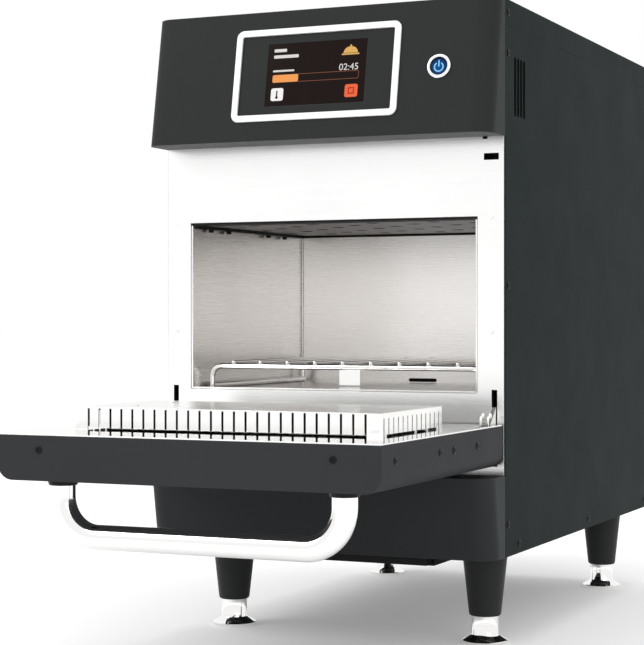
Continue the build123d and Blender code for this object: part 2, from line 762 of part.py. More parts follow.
# Insulation between the two channels
with BuildPart() as door_insulation:
    block(span(2 * (hinge_x - channel_inside / 2 - channel_wall - 2)), (door_y(6), door_y(skin_length - 12)),
          (door_z(door_depth - skin_wall - seam), door_z(inner_plate + seam)))
door_insulation.part.label = "door_insulation"
export_step(door_insulation.part, "parts/door_insulation.step")

# Hinge channels in the door, drilled for the pivot pins
channel_top = inner_plate + seam
with BuildPart() as hinge_channels:
    for side in (-1, 1):
        block(span(channel_inside + 2 * channel_wall, side * hinge_x),
              (door_y(skin_wall + seam), door_y(channel_length)),
              (door_z(channel_top + channel_depth), door_z(channel_top)))
        block(span(channel_inside, side * hinge_x), (door_y(0), door_y(channel_length - channel_wall)),
              (door_z(channel_top + channel_depth - channel_wall), door_z(channel_top)), mode=Mode.SUBTRACT)
        rod((side * hinge_x - channel_inside, hinge_y, pivot_z), (1, 0, 0), pin_radius + running_fit,
            2 * channel_inside, mode=Mode.SUBTRACT)
hinge_channels.part.label = "hinge_channels"
export_step(hinge_channels.part, "parts/hinge_channels.step")

spring_radius = 3.8
spring_link = 1.2
with BuildPart() as hinge_springs:
    for side in (-1, 1):
        centre_z = door_z(pivot_inset)
        rod((side * hinge_x, door_y(notch_length + 4), centre_z), (0, -1, 0), spring_link,
            channel_length - channel_wall - notch_length - 4)
        rod((side * hinge_x, door_y(notch_length + 12), centre_z), (0, -1, 0), spring_radius,
            channel_length - channel_wall - notch_length - 20)
hinge_springs.part.label = "hinge_springs"
export_step(hinge_springs.part, "parts/hinge_springs.step")

# Choke cover: a shallow box whose walls are combs of fingers hanging from its top
with BuildPart() as choke_cover:
    block(span(choke_width), choke_y, (door_z(0), door_z(-choke_height)))
    block(span(choke_width - 2 * choke_sheet), (choke_y[0] + choke_sheet, choke_y[1] - choke_sheet),
          (door_z(0), door_z(-choke_height + choke_sheet)), mode=Mode.SUBTRACT)
    under = (door_z(0), door_z(-choke_height + finger_length))
    block(span(choke_width - 2 * corner_plate), (choke_y[0] - 1, choke_y[1] + 1), under, mode=Mode.SUBTRACT)
    block(span(choke_width + 2), (choke_y[0] + corner_plate, choke_y[1] - corner_plate), under,
          mode=Mode.SUBTRACT)
    front_cut = choke_height - choke_sheet
    side_cut = choke_height - side_band
    for y in choke_y:
        with Locations((0, y, door_z(-front_cut / 2))):
            with GridLocations(front_slot_pitch, 1, front_slots, 1):
                Box(choke_slot_width, 4 * choke_sheet, front_cut, mode=Mode.SUBTRACT)
    for side in (-1, 1):
        with Locations((side * choke_width / 2, (choke_y[0] + choke_y[1]) / 2, door_z(-side_cut / 2))):
            with GridLocations(1, side_slot_pitch, 1, side_slots):
                Box(4 * choke_sheet, choke_slot_width, side_cut, mode=Mode.SUBTRACT)
    for x, along in choke_screws:
        screw_hole((x, door_y(along), door_z(-choke_height)), (0, 0, 1))
choke_cover.part.label = "choke_cover"
export_step(choke_cover.part, "parts/choke_cover.step")

# Door screws: those of the skin, the end cap and the choke cover
with BuildPart() as door_screws:
    for side in (-1, 1):
        for along in door_side_screws:
            screw((side * half, door_y(along), door_z(door_screw_depth)), (side, 0, 0), shank=side_shank)
        screw((side * cap_screw_x, door_y(door_length), door_z(pivot_inset)), (0, -1, 0))
    for x, along in choke_screws:
        screw((x, door_y(along), door_z(-choke_height)), (0, 0, 1), head=choke_screw_head)
door_screws.part.label = "door_screws"
export_step(door_screws.part, "parts/door_screws.step")

# Interlock tongue: it enters the slot in the front frame when the door closes
tongue_thickness = 3
tongue_play = 0.8
tongue_along = slot_z - slot_height / 2 + 0.5 - closed_bottom
tongue_height = tongue_reach + pivot_front - pivot_inset
with BuildPart() as interlock_tongue:
    tongue_y = (door_y(tongue_along), door_y(tongue_along + tongue_thickness))
    block(span(slot_width - 2 * tongue_play, slot_x), tongue_y, (door_z(0), door_z(-tongue_height)))
    with Locations((slot_x, door_y(tongue_along), door_z(-9))):
        Box(slot_width / 2, 4 * tongue_thickness, 2.4, mode=Mode.SUBTRACT)
interlock_tongue.part.label = "interlock_tongue"
export_step(interlock_tongue.part, "parts/interlock_tongue.step")

# Handle: a bent tube on two pads under the door
handle_y = door_y(door_length - handle_from_end)
outer_face_z = door_z(door_depth)
pad_z = outer_face_z - pad_thickness
bar_z = outer_face_z - handle_reach
tube_wall = 1.5
with BuildPart() as door_handle:
    with BuildLine(facing(handle_y)) as bend:
        FilletPolyline((-handle_span / 2, pad_z), (-handle_span / 2, bar_z),
                       (handle_span / 2, bar_z), (handle_span / 2, pad_z), radius=handle_bend)
    with BuildSketch(Plane(origin=bend.line @ 0, z_dir=bend.line % 0)):
        Circle(handle_tube / 2)
        Circle(handle_tube / 2 - tube_wall, mode=Mode.SUBTRACT)
    sweep(path=bend.line)
door_handle.part.label = "door_handle"
export_step(door_handle.part, "parts/door_handle.step")

with BuildPart() as handle_pads:
    for side in (-1, 1):
        rod((side * handle_span / 2, handle_y, outer_face_z), (0, 0, -1), pad_diameter / 2, pad_thickness)
handle_pads.part.label = "handle_pads"
export_step(handle_pads.part, "parts/handle_pads.step")

leg_low = base_z - leg_cone
thread_top = leg_low + 40
leg_places = {
    "front_left": (-leg_x, back(leg_front)),
    "front_right": (leg_x, back(leg_front)),
    "rear_left": (-leg_x, back(leg_rear)),
    "rear_right": (leg_x, back(leg_rear)),
}

# Legs: tapered cones, bored for the thread of their feet
with BuildPart() as legs:
    for x, y in leg_places.values():
        with BuildSketch(Plane(origin=(x, y, leg_low))):
            Circle(leg_bottom_diameter / 2)
        with BuildSketch(Plane(origin=(x, y, base_z))):
            Circle(leg_top_diameter / 2)
        loft()
        rod((x, y, leg_low - 1), (0, 0, 1), foot_thread / 2 + running_fit, thread_top - leg_low + 1,
            mode=Mode.SUBTRACT)
legs.part.label = "legs"
export_step(legs.part, "parts/legs.step")

# Levelling feet, each a turned piece with its threaded stud
for corner, (x, y) in leg_places.items():
    with BuildPart() as foot:
        with BuildSketch(Plane(origin=(x, y, 0), x_dir=(1, 0, 0), z_dir=(0, -1, 0))):
            with BuildLine():
                Polyline((0, 0), (foot_diameter / 2, 0), (foot_diameter / 2, foot_rim),
                         (foot_stem / 2, foot_height), (foot_stem / 2, leg_low - seam),
                         (foot_thread / 2, leg_low - seam),
                         (foot_thread / 2, thread_top - 1), (0, thread_top - 1), close=True)
            make_face()
        revolve(axis=Axis((x, y, 0), (0, 0, 1)))
    foot.part.label = f"foot_{corner}"
    export_step(foot.part, f"parts/foot_{corner}.step")

filter_top = base_z - sheet
filter_low = filter_top - filter_thickness
filter_border = 9
mesh_pitch = 12
mesh_wire = 2.5
mesh_columns = int((filter_width - 2 * filter_border) / mesh_pitch) - 1
mesh_rows = int((filter_length - 2 * filter_border) / mesh_pitch) - 1

# Air filter that slides out to the front, and the two rails that hold it under the base
with BuildPart() as air_filter:
    filter_y = (back(-filter_front), back(filter_length - filter_front))
    block(span(filter_width), filter_y, (filter_low, filter_top))
    block(span(filter_width - 2 * filter_border), (filter_y[0] + filter_border, filter_y[1] - filter_border),
          (filter_low, filter_top), mode=Mode.SUBTRACT)
    with BuildSketch(Plane.XY.offset(filter_low + filter_thickness / 2)):
        with Locations((0, (filter_y[0] + filter_y[1]) / 2)):
            Rectangle(filter_width - filter_border, filter_length - filter_border)
            with GridLocations(mesh_pitch, mesh_pitch, mesh_columns, mesh_rows):
                Rectangle(mesh_pitch - mesh_wire, mesh_pitch - mesh_wire, mode=Mode.SUBTRACT)
    extrude(amount=mesh_wire)
air_filter.part.label = "air_filter"
export_step(air_filter.part, "parts/air_filter.step")

with BuildPart() as filter_rails:
    for side in (-1, 1):
        wall = (side * (filter_width / 2 + seam), side * (filter_width / 2 + seam + rail_wall))
        shelf = (side * (filter_width / 2 - 5), wall[1])
        rail_y = (back(4), back(filter_length - filter_front + 3))
        block(wall, rail_y, (filter_low - seam - rail_wall, base_z))
        block(shelf, rail_y, (filter_low - seam - rail_wall, filter_low - seam))
filter_rails.part.label = "filter_rails"
export_step(filter_rails.part, "parts/filter_rails.step")

fan_size = 120
fan_depth = 38
fan_y = back(inlet_depth)
fan_z = base_z + sheet
fan_hub = 20
fan_blades = 7
fan_bore = fan_size / 2 - 4
blade_length = fan_bore - fan_hub - 3

# Cooling fan over the air inlet: frame with its motor on three struts, and the wheel
with BuildPart() as cooling_fan_frame:
    block(span(fan_size), span(fan_size, fan_y), (fan_z, fan_z + fan_depth))
    rod((0, fan_y, fan_z), (0, 0, 1), fan_bore, fan_depth, mode=Mode.SUBTRACT)
    with Locations(Location((0, fan_y, fan_z + fan_depth - 2))):
        with PolarLocations(fan_bore / 2, 3):
            Box(fan_bore + 4, 6, 4)
    rod((0, fan_y, fan_z + fan_depth - 6), (0, 0, 1), fan_hub, 6)
    rod((0, fan_y, fan_z + fan_depth - 7), (0, 0, 1), 3 + running_fit, 8, mode=Mode.SUBTRACT)
cooling_fan_frame.part.label = "cooling_fan_frame"
export_step(cooling_fan_frame.part, "parts/cooling_fan_frame.step")

with BuildPart() as cooling_fan_wheel:
    rod((0, fan_y, fan_z + 4), (0, 0, 1), fan_hub, fan_depth - 12)
    rod((0, fan_y, fan_z + 5), (0, 0, 1), 3, fan_depth - 6)
    with Locations(Location((0, fan_y, fan_z + fan_depth / 2 - 3))):
        with PolarLocations(fan_hub - 1 + blade_length / 2, fan_blades):
            Box(blade_length, 2, 26, rotation=(35, 0, 0))
cooling_fan_wheel.part.label = "cooling_fan_wheel"
export_step(cooling_fan_wheel.part, "parts/cooling_fan_wheel.step")

guide_height = 38
guide_top = well_z - sheet
guide_z = guide_top - guide_height
guide_wall = 1.5
guide_rear = 400
guide_end = back(guide_rear)
magnetron_inset = 50
antenna_hole = 11
stirrer_y = back(cavity_depth / 2)
stirrer_radius = 60
stirrer_shaft = 3

# Waveguide under the chamber, the magnetron below its rear end, and the stirrer with its motor
with BuildPart() as waveguide:
    block(span(waveguide_width), (waveguide_y, guide_end), (guide_z, guide_top))
    block(span(waveguide_width - 2 * guide_wall), (waveguide_y + guide_wall, guide_end - guide_wall),
          (guide_z + guide_wall, guide_top - guide_wall), mode=Mode.SUBTRACT)
    rod((0, stirrer_y, guide_top + 1), (0, 0, -1), stirrer_hole, guide_wall + 2, mode=Mode.SUBTRACT)
    rod((0, stirrer_y, guide_z - 1), (0, 0, 1), stirrer_shaft + 1, guide_wall + 2, mode=Mode.SUBTRACT)
    rod((0, guide_end - magnetron_inset, guide_z - 1), (0, 0, 1), antenna_hole, guide_wall + 2,
        mode=Mode.SUBTRACT)
waveguide.part.label = "waveguide"
export_step(waveguide.part, "parts/waveguide.step")

magnetron_y = guide_end - magnetron_inset
fins = 6
with BuildPart() as magnetron:
    block(span(80), span(90, magnetron_y), (guide_z - 6, guide_z))
    rod((0, magnetron_y, guide_z), (0, 0, 1), 10, 24)
    rod((0, magnetron_y, guide_z - 6), (0, 0, -1), 20, 60)
    with Locations((0, magnetron_y, guide_z - 36)):
        with GridLocations(1, 1, 1, 1):
            for number in range(fins):
                with Locations((0, 0, (number - (fins - 1) / 2) * 8)):
                    Box(76, 60, 1.5)
    block(span(70), span(60, magnetron_y), (guide_z - 78, guide_z - 66))
magnetron.part.label = "magnetron"
export_step(magnetron.part, "parts/magnetron.step")

with BuildPart() as stirrer:
    with Locations(Location((0, stirrer_y, well_z + 6))):
        Cylinder(14, 2)
        with PolarLocations(stirrer_radius / 2 + 4, 4):
            Box(stirrer_radius - 8, 22, 2)
    rod((0, stirrer_y, guide_z - 16), (0, 0, 1), stirrer_shaft, well_z + 6 - guide_z + 16)
stirrer.part.label = "stirrer"
export_step(stirrer.part, "parts/stirrer.step")

with BuildPart() as stirrer_motor:
    rod((0, stirrer_y, guide_z), (0, 0, -1), 24, 20)
    rod((0, stirrer_y, guide_z + 1), (0, 0, -1), stirrer_shaft + running_fit, 18, mode=Mode.SUBTRACT)
stirrer_motor.part.label = "stirrer_motor"
export_step(stirrer_motor.part, "parts/stirrer_motor.step")

housing_width = 224
housing_depth = 100
housing_low = base_z + 152
housing_wall = 1.2
housing_front = liner_rear + sheet
housing_rear = housing_front + housing_depth
blower_z = floor_z + 100
wheel_radius = 70
wheel_y = housing_front + 28
wheel_depth = 42
shaft_radius = 5
heater_radius = 88
heater_wire = 4
terminal_radius = 3
terminal_x = 20
terminal_z = blower_z - (heater_radius ** 2 - terminal_x ** 2) ** 0.5
blades = 12

# Blower behind the chamber: housing, wheel, shaft, motor and the heating element around the wheel
with BuildPart() as blower_housing:
    block(span(housing_width), (housing_front, housing_rear), (housing_low, plenum_z))
    block(span(housing_width - 2 * housing_wall), (housing_front + housing_wall, housing_rear - housing_wall),
          (housing_low + housing_wall, plenum_z - housing_wall), mode=Mode.SUBTRACT)
    for across, heights in ((span(outlet_width), outlet_z), (span(return_width, return_x), return_z)):
        block(across, (housing_front - 1, housing_front + housing_wall), heights, mode=Mode.SUBTRACT)
    rod((0, housing_rear + 1, blower_z), (0, -1, 0), shaft_radius + 2, housing_wall + 2, mode=Mode.SUBTRACT)
    for side in (-1, 1):
        rod((side * terminal_x, housing_rear + 1, terminal_z), (0, -1, 0), terminal_radius + seam,
            housing_wall + 2, mode=Mode.SUBTRACT)
blower_housing.part.label = "blower_housing"
export_step(blower_housing.part, "parts/blower_housing.step")

with BuildPart() as heating_element:
    heater_y = wheel_y + wheel_depth / 2
    with Locations((0, heater_y, blower_z)):
        Torus(heater_radius, heater_wire, rotation=(90, 0, 0))
    for side in (-1, 1):
        rod((side * terminal_x, heater_y, terminal_z), (0, 1, 0), terminal_radius, housing_rear - heater_y + 14)
heating_element.part.label = "heating_element"
export_step(heating_element.part, "parts/heating_element.step")

with BuildPart() as blower_wheel:
    rod((0, wheel_y, blower_z), (0, 1, 0), wheel_radius, 2)
    rod((0, wheel_y, blower_z), (0, 1, 0), wheel_radius - 24, 2, mode=Mode.SUBTRACT)
    rod((0, wheel_y + wheel_depth - 2, blower_z), (0, 1, 0), wheel_radius, 2)
    rod((0, wheel_y + 8, blower_z), (0, 1, 0), 15, wheel_depth - 8)
    with Locations(Location((0, wheel_y + wheel_depth / 2, blower_z), (90, 0, 0))):
        with PolarLocations(wheel_radius - 12, blades):
            Box(22, 2, wheel_depth - 2, rotation=(0, 0, 30))
    rod((0, wheel_y, blower_z), (0, 1, 0), shaft_radius, wheel_depth, mode=Mode.SUBTRACT)
blower_wheel.part.label = "blower_wheel"
export_step(blower_wheel.part, "parts/blower_wheel.step")

motor_length = 86
motor_radius = 50
with BuildPart() as blower_shaft:
    rod((0, wheel_y + 6, blower_z), (0, 1, 0), shaft_radius, housing_rear - wheel_y - 6 + motor_length - 6)
blower_shaft.part.label = "blower_shaft"
export_step(blower_shaft.part, "parts/blower_shaft.step")

with BuildPart() as blower_motor:
    block(span(110), (housing_rear, housing_rear + 3), span(110, blower_z))
    rod((0, housing_rear + 3, blower_z), (0, 1, 0), motor_radius, motor_length - 3)
    rod((0, housing_rear - 1, blower_z), (0, 1, 0), shaft_radius + running_fit, motor_length - 4,
        mode=Mode.SUBTRACT)
blower_motor.part.label = "blower_motor"
export_step(blower_motor.part, "parts/blower_motor.step")

converter_width = 130
converter_height = 34
converter_depth = 14
cell_pitch = 9
cell_radius = 3.4

# Catalytic converter: a honeycomb block over the return slot, inside the blower housing
with BuildPart() as catalytic_converter:
    converter_y = housing_front + housing_wall + seam
    converter_low = housing_low + housing_wall + seam
    block(span(converter_width), (converter_y, converter_y + converter_depth),
          (converter_low, converter_low + converter_height))
    with BuildSketch(facing(converter_y + converter_depth)):
        with Locations((0, converter_low + converter_height / 2)):
            with GridLocations(cell_pitch, cell_pitch, 13, 3):
                Circle(cell_radius)
    extrude(amount=converter_depth, mode=Mode.SUBTRACT)
catalytic_converter.part.label = "catalytic_converter"
export_step(catalytic_converter.part, "parts/catalytic_converter.step")

shelf_z = plenum_z + sheet + seam + blanket_top + 3
shelf_edge = 12
post_height = 8
post_radius = 4

# Component shelf over the chamber, with upturned edges against the side panels
with BuildPart() as component_shelf:
    shelf_y = (back(60), panel_y - sheet - seam)
    shelf_x = half - sheet - seam
    block(span(2 * shelf_x), shelf_y, (shelf_z, shelf_z + sheet))
    for side in (-1, 1):
        block((side * (shelf_x - sheet), side * shelf_x), shelf_y, (shelf_z, shelf_z + shelf_edge))
component_shelf.part.label = "component_shelf"
export_step(component_shelf.part, "parts/component_shelf.step")


def circuit_board(x, y, z, width, depth, components):
    """A board on four posts with box-shaped components on its upper side."""
    with Locations((x, y, z + post_height / 2)):
        with GridLocations(width - 16, depth - 16, 2, 2):
            Cylinder(post_radius, post_height)
    block(span(width, x), span(depth, y), (z + post_height, z + post_height + board_thickness))
    board_top = z + post_height + board_thickness
    for offset_x, offset_y, size_x, size_y, height in components:
        block(span(size_x, x + offset_x), span(size_y, y + offset_y), (board_top, board_top + height))


power_board_x = -60
power_board_middle = 220
power_board_width = 170
power_board_length = 130

# Power board on the shelf, with relays, a choke coil and a terminal row
with BuildPart() as power_board:
    circuit_board(power_board_x, back(power_board_middle), shelf_z + sheet, power_board_width,
                  power_board_length,
                  [(-56, -34, 28, 24, 24), (-18, -34, 28, 24, 24), (40, -30, 44, 40, 32),
                   (0, 40, 110, 16, 18)])
power_board.part.label = "power_board"
export_step(power_board.part, "parts/power_board.step")

core = (96, 78, 80)
core_window = (18, 46)
coil_depth = 14
transformer_x = half - 78
transformer_middle = 300
transformer_y = back(transformer_middle)

# Transformer: laminated core with two windows, and the windings that fill them
with BuildPart() as transformer:
    core_z = base_z + sheet
    block(span(core[0], transformer_x), span(core[1], transformer_y), (core_z, core_z + core[2]))
    for side in (-1, 1):
        block(span(core_window[0], transformer_x + side * core[0] / 4), span(core[1] + 2, transformer_y),
              span(core_window[1], core_z + core[2] / 2), mode=Mode.SUBTRACT)
    coil_outer = core[0] / 2 + core_window[0] - 2 * seam
    coil_inner = core[0] / 2 - core_window[0] + 2 * seam
    block(span(coil_outer, transformer_x), span(core[1] + 2 * coil_depth, transformer_y),
          span(core_window[1] - 2 * seam, core_z + core[2] / 2))
transformer.part.label = "transformer"
export_step(transformer.part, "parts/transformer.step")

# High-voltage capacitor: an oval can in a strap on the chassis base
with BuildPart() as capacitor:
    with BuildSketch(Plane.XY.offset(base_z + sheet)):
        with Locations((-transformer_x, transformer_y)):
            SlotOverall(56, 34)
    extrude(amount=92)
    for side in (-1, 1):
        rod((-transformer_x + side * 12, transformer_y, base_z + sheet + 92), (0, 0, 1), 3, 10)
capacitor.part.label = "capacitor"
export_step(capacitor.part, "parts/capacitor.step")
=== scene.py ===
# %% [markdown]
# The looks of a narrow high-speed oven with its door open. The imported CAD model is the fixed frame: every
# piece below is placed by the boxes of its nodes, in metres. What the CAD already shapes well keeps its
# mesh and gets a finish here. Small forms, such as screw recesses, turned feet, weld beads and what the
# screen shows, are modelled here as meshes of their own.

# %% Load the frame
import math

import bmesh
import bpy
from mathutils import Matrix, Vector


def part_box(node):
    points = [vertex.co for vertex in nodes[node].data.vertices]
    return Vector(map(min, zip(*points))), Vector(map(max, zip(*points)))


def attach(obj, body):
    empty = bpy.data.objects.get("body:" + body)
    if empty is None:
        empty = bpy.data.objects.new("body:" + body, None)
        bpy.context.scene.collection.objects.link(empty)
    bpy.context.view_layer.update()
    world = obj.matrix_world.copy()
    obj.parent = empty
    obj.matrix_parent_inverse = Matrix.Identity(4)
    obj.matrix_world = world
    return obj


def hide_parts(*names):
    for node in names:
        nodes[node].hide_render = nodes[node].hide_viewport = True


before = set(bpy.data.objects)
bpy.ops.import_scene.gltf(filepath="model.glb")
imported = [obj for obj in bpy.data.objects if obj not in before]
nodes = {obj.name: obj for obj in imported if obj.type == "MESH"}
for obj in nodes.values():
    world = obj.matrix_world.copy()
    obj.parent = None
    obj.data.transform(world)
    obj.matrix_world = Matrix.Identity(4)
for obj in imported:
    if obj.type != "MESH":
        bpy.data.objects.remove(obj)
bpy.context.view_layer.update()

# %% [markdown]
# A catalogue picture is taken from far off with a long lens, so that upright edges stay upright. The camera
# is level, a little above the middle of the oven, and turned so that the front and the right side show. The
# small shift keeps it level and still frames the oven, which tilting it could not do.

# %% Camera
camera_data = bpy.data.cameras.new("camera")
camera_data.sensor_width = 36
camera_data.lens = 103.02
camera_data.shift_y = -0.0037
camera = bpy.data.objects.new("camera", camera_data)
camera.location = (0.7726, -1.8746, 0.3333)
camera.rotation_euler = (math.radians(90), 0, math.radians(24.19))
bpy.context.scene.collection.objects.link(camera)
bpy.context.scene.camera = camera
bpy.context.scene.view_settings.view_transform = "Standard"
print("camera", camera.location[:], "lens", camera_data.lens)

# %% [markdown]
# All the node trees below are built with one small helper. It adds a node, sets its properties, and for
# each input either links a socket or stores a value, so a material reads like a short recipe.


# %% Node helper
def srgb(red, green, blue):
    """A colour given as 0 to 255 on a screen, turned into the linear values that Blender works in."""
    linear = [(v / 255 / 12.92) if v < 11 else ((v / 255 + 0.055) / 1.055) ** 2.4 for v in (red, green, blue)]
    return (*linear, 1.0)


def node(tree, kind, inputs=None, **properties):
    """Adds one node to a tree. A socket given as an input is linked, and anything else is its value."""
    made = tree.nodes.new("ShaderNode" + kind)
    for key, value in properties.items():
        setattr(made, key, value)
    for key, value in (inputs or {}).items():
        if isinstance(value, bpy.types.NodeSocket):
            tree.links.new(value, made.inputs[key])
        else:
            made.inputs[key].default_value = value
    return made


def spread(tree, value, low, high, start=0.0, end=1.0):
    """Stretches a value from one range to another and stops at the ends."""
    ranges = {"From Min": start, "From Max": end, "To Min": low, "To Max": high, "Value": value}
    return node(tree, "MapRange", ranges).outputs["Result"]


def blend_colours(tree, factor, first, second):
    """The first colour where the factor is 0 and the second where it is 1."""
    return node(tree, "Mix", {0: factor, 6: first, 7: second}, data_type="RGBA").outputs[2]


def larger(tree, first, second):
    """The larger of two values."""
    return node(tree, "Math", {0: first, 1: second}, operation="MAXIMUM").outputs[0]


print("grey 128 in linear", srgb(128, 128, 128))

# %% [markdown]
# The backdrop is white and empty. The world lights the oven softly from all round, and camera, mirror and
# glass rays see it as plain white. More lamps would burn the steel out, so the white comes from here and
# not from them.

# %% World
WORLD_LIGHT = 0.85
world = bpy.data.worlds.new("studio")
world.use_nodes = True
tree = world.node_tree
tree.nodes.clear()
path = node(tree, "LightPath")
seen = larger(tree, path.outputs["Is Camera Ray"], path.outputs["Is Glossy Ray"])
seen = larger(tree, seen, path.outputs["Is Transmission Ray"])
strength = spread(tree, seen, WORLD_LIGHT, 1.0)
background = node(tree, "Background", {"Color": (1, 1, 1, 1), "Strength": strength})
output = tree.nodes.new("ShaderNodeOutputWorld")
tree.links.new(background.outputs[0], output.inputs["Surface"])
bpy.context.scene.world = world
print("world light", WORLD_LIGHT)

# %% [markdown]
# Three large soft lamps stand where a photographer would put softboxes. A large lamp gives soft shadow
# edges and long smooth highlights on the steel. The key stands to the left, so the shadow falls to the
# right.


# %% Lamps
def softbox(name, place, target, size, watts):
    """A square area lamp that faces a point."""
    data = bpy.data.lights.new(name, "AREA")
    data.shape = "SQUARE"
    data.size = size
    data.energy = watts
    lamp = bpy.data.objects.new(name, data)
    lamp.location = place
    lamp.rotation_euler = (Vector(target) - Vector(place)).to_track_quat("-Z", "Y").to_euler()
    bpy.context.scene.collection.objects.link(lamp)
    return lamp


softbox("key_lamp", (-1.9, -2.0, 2.3), (0, -0.1, 0.3), 1.6, 34)
softbox("fill_lamp", (2.2, -1.6, 1.6), (0, -0.1, 0.3), 1.8, 10)
softbox("top_lamp", (0.1, 0.5, 2.9), (0, 0, 0.3), 2.0, 16)

# %% [markdown]
# The floor is a wide pale sheet. It has to fade into the white backdrop and yet keep the oven's shadow, so
# its material glows a little for the rays that the eye sees, and more with the distance from the oven,
# where the lamps reach it less. Otherwise it stays an ordinary matt surface.

# %% Floor
FLOOR_GLOW = 0.20
FAR_GLOW = 0.30
FAR_FLOOR = (0.7, 2.4)
floor_mesh = bmesh.new()
bmesh.ops.create_grid(floor_mesh, x_segments=8, y_segments=8, size=30)
floor_data = bpy.data.meshes.new("studio_floor")
floor_mesh.to_mesh(floor_data)
floor_mesh.free()
floor = bpy.data.objects.new("studio_floor", floor_data)
bpy.context.scene.collection.objects.link(floor)
floor_paper = bpy.data.materials.new("floor_paper")
floor_paper.use_nodes = True
tree = floor_paper.node_tree
shader = tree.nodes["Principled BSDF"]
shader.inputs["Base Color"].default_value = (0.9, 0.9, 0.9, 1)
shader.inputs["Roughness"].default_value = 0.8
shader.inputs["Specular IOR Level"].default_value = 0.0
path = node(tree, "LightPath")
seen = larger(tree, path.outputs["Is Camera Ray"], path.outputs["Is Glossy Ray"])
spot = node(tree, "TexCoord").outputs["Object"]
away = node(tree, "VectorMath", {0: spot}, operation="LENGTH").outputs["Value"]
glow = spread(tree, away, FLOOR_GLOW, FAR_GLOW, *FAR_FLOOR)
glow = node(tree, "Math", {0: glow, 1: seen}, operation="MULTIPLY").outputs[0]
tree.links.new(glow, shader.inputs["Emission Strength"])
shader.inputs["Emission Color"].default_value = (1, 1, 1, 1)
floor_data.materials.append(floor_paper)
print("floor", floor.dimensions[:])

# %% [markdown]
# Three effects come back in many finishes, so each is a node group that is built once. Grain is a noise
# that can be drawn out along an axis: left even it is the orange peel of powder paint, and drawn out it is
# the fine lines of brushed steel. Handling is a large soft blotch, as fingers and cloths leave it. Edge
# wear finds the edges with a Bevel node, which also gives a rounded normal to sheet metal's sharp corners.


# %% Node groups
def new_group(name, inputs, outputs):
    """An empty shader group with named sockets. It returns the group, its inputs and its outputs."""
    group = bpy.data.node_groups.new(name, "ShaderNodeTree")
    for label, kind, value in inputs:
        socket = group.interface.new_socket(label, in_out="INPUT", socket_type="NodeSocket" + kind)
        socket.default_value = value
    for label, kind in outputs:
        group.interface.new_socket(label, in_out="OUTPUT", socket_type="NodeSocket" + kind)
    return group, group.nodes.new("NodeGroupInput").outputs, group.nodes.new("NodeGroupOutput").inputs


grain_group, given, result = new_group(
    "grain",
    [("Fineness", "Float", 900.0), ("Draw", "Vector", (1, 1, 1)), ("Detail", "Float", 3.0)],
    [("Height", "Float"), ("Shade", "Float")])
place = node(grain_group, "TexCoord").outputs["Object"]
drawn = node(grain_group, "VectorMath", {0: place, 1: given["Draw"]}, operation="MULTIPLY").outputs[0]
noise = node(grain_group, "TexNoise",
             {"Vector": drawn, "Scale": given["Fineness"], "Detail": given["Detail"]})
grain_group.links.new(noise.outputs["Fac"], result["Height"])
grain_group.links.new(spread(grain_group, noise.outputs["Fac"], 0, 1, 0.3, 0.7), result["Shade"])

handling_group, given, result = new_group("handling", [("Size", "Float", 0.12)], [("Mask", "Float")])
place = node(handling_group, "TexCoord").outputs["Object"]
scale = node(handling_group, "Math", {0: 1.0, 1: given["Size"]}, operation="DIVIDE").outputs[0]
noise = node(handling_group, "TexNoise", {"Vector": place, "Scale": scale, "Detail": 4.0, "Distortion": 0.8})
handling_group.links.new(spread(handling_group, noise.outputs["Fac"], 0, 1, 0.38, 0.66), result["Mask"])

edge_group, given, result = new_group(
    "edge_wear", [("Radius", "Float", 0.0008), ("Break Up", "Float", 0.3)],
    [("Mask", "Float"), ("Normal", "Vector")])
rounded = node(edge_group, "Bevel", {"Radius": given["Radius"]}, samples=4).outputs[0]
flat = node(edge_group, "NewGeometry").outputs["Normal"]
same = node(edge_group, "VectorMath", {0: rounded, 1: flat}, operation="DOT_PRODUCT").outputs["Value"]
turned = spread(edge_group, same, 1, 0, 0.86, 0.99)
place = node(edge_group, "TexCoord").outputs["Object"]
chips = node(edge_group, "TexNoise", {"Vector": place, "Scale": 220.0, "Detail": 2.0}).outputs["Fac"]
chips = spread(edge_group, chips, 0, 1, 0.35, 0.65)
kept = node(edge_group, "Mix", {0: given["Break Up"], 2: 1.0, 3: chips}).outputs[0]
worn = node(edge_group, "Math", {0: turned, 1: kept}, operation="MULTIPLY").outputs[0]
edge_group.links.new(worn, result["Mask"])
edge_group.links.new(rounded, result["Normal"])


def use(tree, group, **values):
    """Places a group in a material with its own values."""
    placed = tree.nodes.new("ShaderNodeGroup")
    placed.node_tree = group
    for key, value in values.items():
        placed.inputs[key.replace("_", " ")].default_value = value
    return placed.outputs


print("groups", [g.name for g in bpy.data.node_groups])


# %% [markdown]
# Every finish starts from the same Principled shader. What is even all over is set straight on the shader,
# and what changes over the surface comes in through links.


# %% Start of a finish
def start(name, **constants):
    """A new material. It returns the material, its tree and its Principled shader."""
    material = bpy.data.materials.new(name)
    material.use_nodes = True
    shader = material.node_tree.nodes["Principled BSDF"]
    for key, value in constants.items():
        shader.inputs[key.replace("_", " ")].default_value = value
    return material, material.node_tree, shader


def bump(tree, shader, height, strength, distance, normal=None):
    """Gives the shader a fine relief from a height, over a normal if there is one."""
    inputs = {"Height": height, "Strength": strength, "Distance": distance}
    if normal is not None:
        inputs["Normal"] = normal
    made = node(tree, "Bump", inputs)
    tree.links.new(made.outputs[0], shader.inputs["Normal"])


# %% [markdown]
# The casing is sheet steel with near-black powder paint. Such paint has a faint orange peel, a soft sheen
# that handling makes uneven, and it is thinner and lighter along folded edges.


